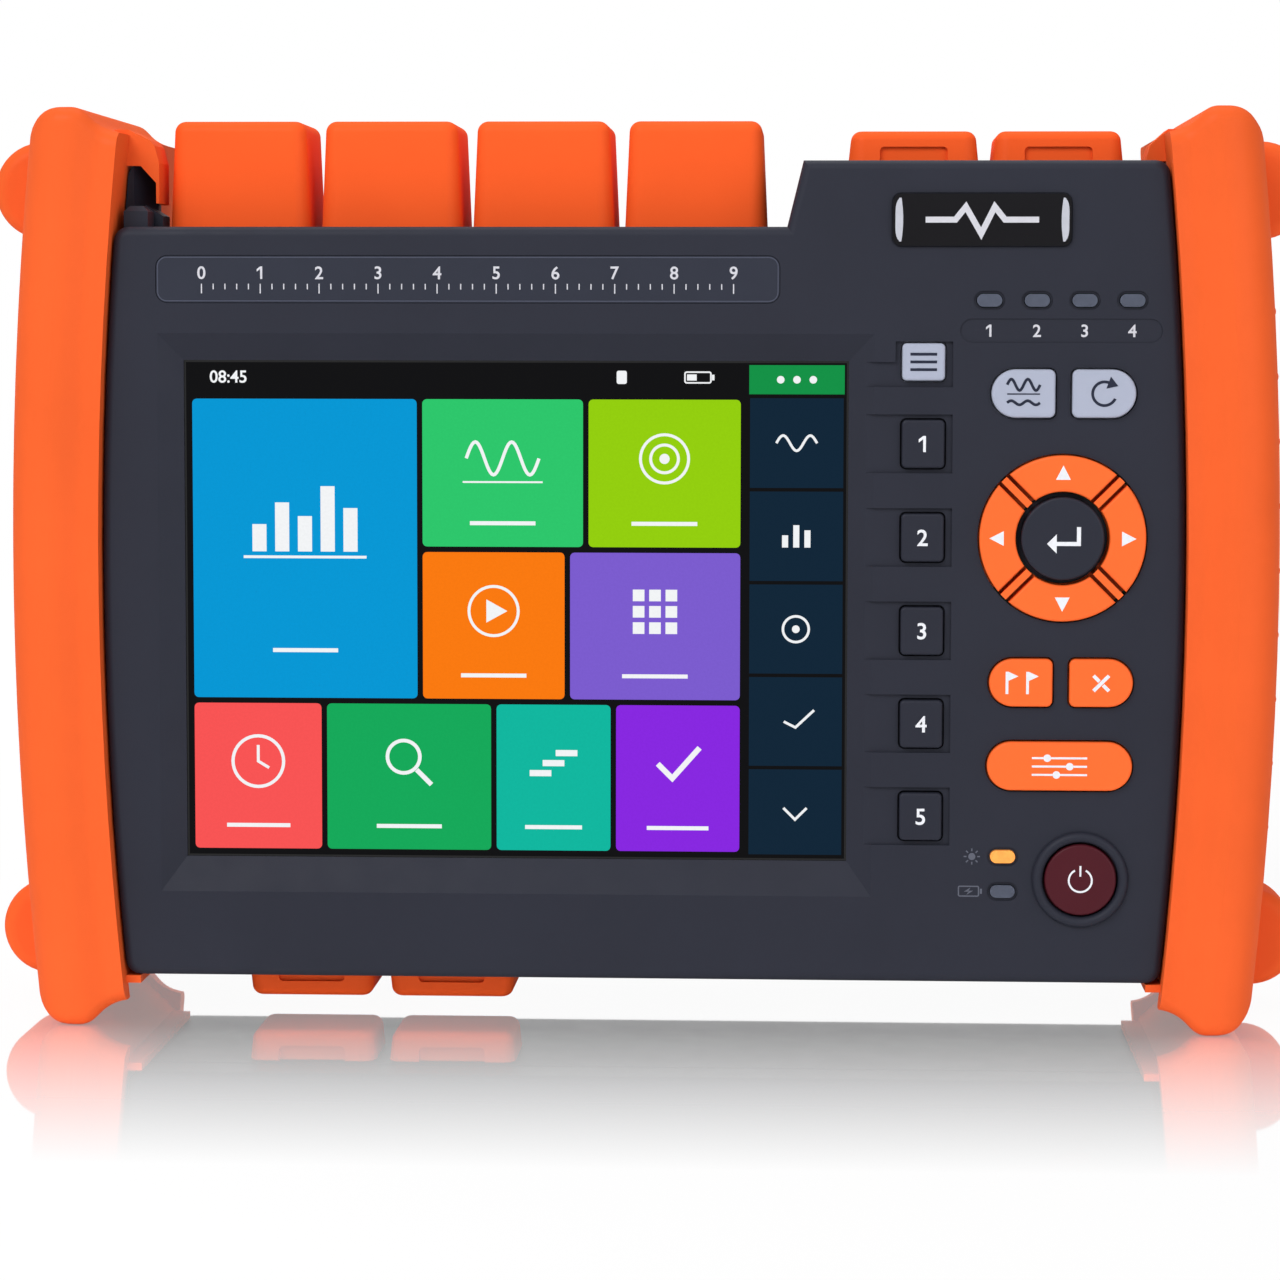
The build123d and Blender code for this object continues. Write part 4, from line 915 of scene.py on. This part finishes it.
def dress_usb_socket():
    """Four contacts on each tongue."""
    count, pitch, width = 4, 2.3 * MM, 1.0 * MM
    tongue, face_shift = 3.45 * MM, 0.1 * MM     # from the socket's middle to a tongue's face
    proud, sunk = 0.12 * MM, 0.3 * MM
    start, end = 8.0 * MM, 2.0 * MM      # down from the mouth
    low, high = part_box("usb_socket")
    x = (low.x + high.x) / 2
    boxes = []
    for side in (-1, 1):
        face = (low.y + high.y) / 2 + side * tongue + face_shift
        for i in range(count):
            left = x + (i - (count - 1) / 2) * pitch - width / 2
            boxes.append(((left, face - proud, high.z - start),
                          (left + width, face + sunk, high.z - end)))
    contacts("usb_socket", boxes)


def dress_door_screws():
    """A dark cross of painted shade on the head of each screw of the battery door, standing in for
    the shade inside its cross recess.
    """
    arm, half = 1.5 * MM, 0.28 * MM
    low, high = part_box("door_screws")
    radius = (high.z - low.z) / 2
    z = (low.z + high.z) / 2
    for side, x in (("left", low.x + radius), ("right", high.x - radius)):
        cross = [bar(x, z, 2 * arm, 2 * half), bar(x, z + (arm + half) / 2, 2 * half, arm - half),
                 bar(x, z - (arm + half) / 2, 2 * half, arm - half)]
        flat_piece(f"door_screw_cross_{side}", cross, high.y - INK_SINK, INK_THICKNESS,
                   painted_recess_shade, "case", facing=1)


# Stage, lamps and camera

FLOOR_RADIUS = 3.0
MIRROR_NEAR = 0.034          # distance along y up to which the floor mirrors most
MIRROR_FAR = 0.16            # distance where it no longer does
MIRROR_SHARE = 0.72
GLOW_SHARE = 0.85            # of the floor's white that shadows don't dim
FADE_NEAR = 0.45             # distance where the floor starts to fade into the world
FADE_FAR = 1.4


def make_floor():
    """A white floor that mirrors the object close to its feet and fades into the white world."""
    mesh = bmesh.new()
    bmesh.ops.create_circle(mesh, cap_ends=True, radius=FLOOR_RADIUS, segments=96)
    data = bpy.data.meshes.new("floor")
    mesh.to_mesh(data)
    mesh.free()
    floor = bpy.data.objects.new("floor", data)
    bpy.context.scene.collection.objects.link(floor)
    nodes = Nodes("floor_white")
    nodes.set(Base_Color=(0.95, 0.95, 0.955, 1.0), Roughness=0.9, Specular_IOR_Level=0.0)
    white = nodes.add("ShaderNodeEmission", Strength=1.0)
    path = nodes.add("ShaderNodeLightPath")
    seen = nodes.compute("MAXIMUM", path.outputs["Is Camera Ray"], path.outputs["Is Glossy Ray"])
    glow = nodes.spread(seen, 0.0, GLOW_SHARE, 0.0, 1.0)
    ground = nodes.mix_shaders(glow, nodes.shader.outputs["BSDF"], white.outputs["Emission"])
    mirror = nodes.add("ShaderNodeBsdfGlossy", Roughness=0.03, Color=(1.0, 1.0, 1.0, 1.0))
    split = nodes.add("ShaderNodeSeparateXYZ")
    nodes.join(nodes.place(), split.inputs["Vector"])
    away = nodes.compute("ABSOLUTE", split.outputs["Y"])
    near = nodes.spread(away, MIRROR_SHARE, 0.0, MIRROR_NEAR, MIRROR_FAR)
    body = nodes.mix_shaders(near, ground, mirror.outputs["BSDF"])
    length = nodes.add("ShaderNodeVectorMath")
    length.operation = "LENGTH"
    nodes.join(nodes.place(), length.inputs[0])
    far = nodes.spread(length.outputs["Value"], 0.0, 1.0, FADE_NEAR, FADE_FAR)
    clear = nodes.add("ShaderNodeBsdfTransparent")
    whole = nodes.mix_shaders(far, body, clear.outputs["BSDF"])
    nodes.join(whole, nodes.output.inputs["Surface"])
    data.materials.append(nodes.material)


WORLD_LEVEL = 0.38
LAMP_AIM = (0.0, 0.0, 0.09)


def make_world():
    """Soft even light, with a white that only the camera, mirrors and glass see."""
    world = bpy.data.worlds.new("studio")
    world.use_nodes = True
    tree = world.node_tree
    tree.nodes.clear()
    output = tree.nodes.new("ShaderNodeOutputWorld")
    soft = tree.nodes.new("ShaderNodeBackground")
    soft.inputs["Strength"].default_value = WORLD_LEVEL
    white = tree.nodes.new("ShaderNodeBackground")
    white.inputs["Strength"].default_value = 1.0
    for node in (soft, white):
        node.inputs["Color"].default_value = (1.0, 1.0, 1.0, 1.0)
    path = tree.nodes.new("ShaderNodeLightPath")
    seen = path.outputs["Is Camera Ray"]
    for ray in ("Is Glossy Ray", "Is Transmission Ray"):
        either = tree.nodes.new("ShaderNodeMath")
        either.operation = "MAXIMUM"
        tree.links.new(seen, either.inputs[0])
        tree.links.new(path.outputs[ray], either.inputs[1])
        seen = either.outputs[0]
    mix = tree.nodes.new("ShaderNodeMixShader")
    tree.links.new(seen, mix.inputs["Fac"])
    tree.links.new(soft.outputs["Background"], mix.inputs[1])
    tree.links.new(white.outputs["Background"], mix.inputs[2])
    tree.links.new(mix.outputs["Shader"], output.inputs["Surface"])
    bpy.context.scene.world = world


def area_lamp(name, place, size, watts, mirrored=True):
    """A soft box that looks at the object's middle; mirrored says whether reflections show it."""
    light = bpy.data.lights.new(name, "AREA")
    light.shape = "RECTANGLE"
    light.size, light.size_y = size
    light.energy = watts
    lamp = bpy.data.objects.new(name, light)
    lamp.visible_glossy = mirrored
    lamp.location = place
    lamp.rotation_euler = (Vector(LAMP_AIM) - Vector(place)).to_track_quat("-Z", "Y").to_euler()
    bpy.context.scene.collection.objects.link(lamp)


def make_lamps():
    area_lamp("key_softbox", (-0.55, -1.1, 0.95), (0.9, 0.7), 11.5)
    area_lamp("fill_softbox", (0.75, -1.0, 0.4), (0.8, 0.8), 3.0)
    area_lamp("top_softbox", (0.0, 0.15, 1.1), (1.0, 0.6), 4.0)
    area_lamp("rear_softbox", (-0.5, 1.2, 0.6), (0.9, 0.8), 7.0, mirrored=False)


def make_camera():
    data = bpy.data.cameras.new("camera")
    data.sensor_fit = "HORIZONTAL"
    data.sensor_width = SENSOR_WIDTH
    data.lens = CAMERA_LENS
    data.clip_end = 20.0
    camera = bpy.data.objects.new("camera", data)
    look = Vector(CAMERA_AIM) - Vector(CAMERA_PLACE)
    turn = look.to_track_quat("-Z", "Y").to_matrix().to_4x4()
    roll = Matrix.Rotation(math.radians(CAMERA_ROLL), 4, "Z")
    camera.matrix_world = Matrix.Translation(CAMERA_PLACE) @ turn @ roll
    bpy.context.scene.collection.objects.link(camera)
    bpy.context.scene.camera = camera


bpy.context.scene.view_settings.view_transform = "Standard"
dress_solids()
mark_soft_keys()
mark_arrow_keys()
mark_enter_key()
mark_menu_key()
mark_average_key()
mark_auto_key()
mark_marker_key()
mark_escape_key()
mark_setup_key()
mark_power_key()
mark_title_plate()
mark_badge()
mark_lights()
draw_display()
dress_network_sockets()
dress_usb_socket()
dress_door_screws()
make_floor()
make_world()
make_lamps()
make_camera()
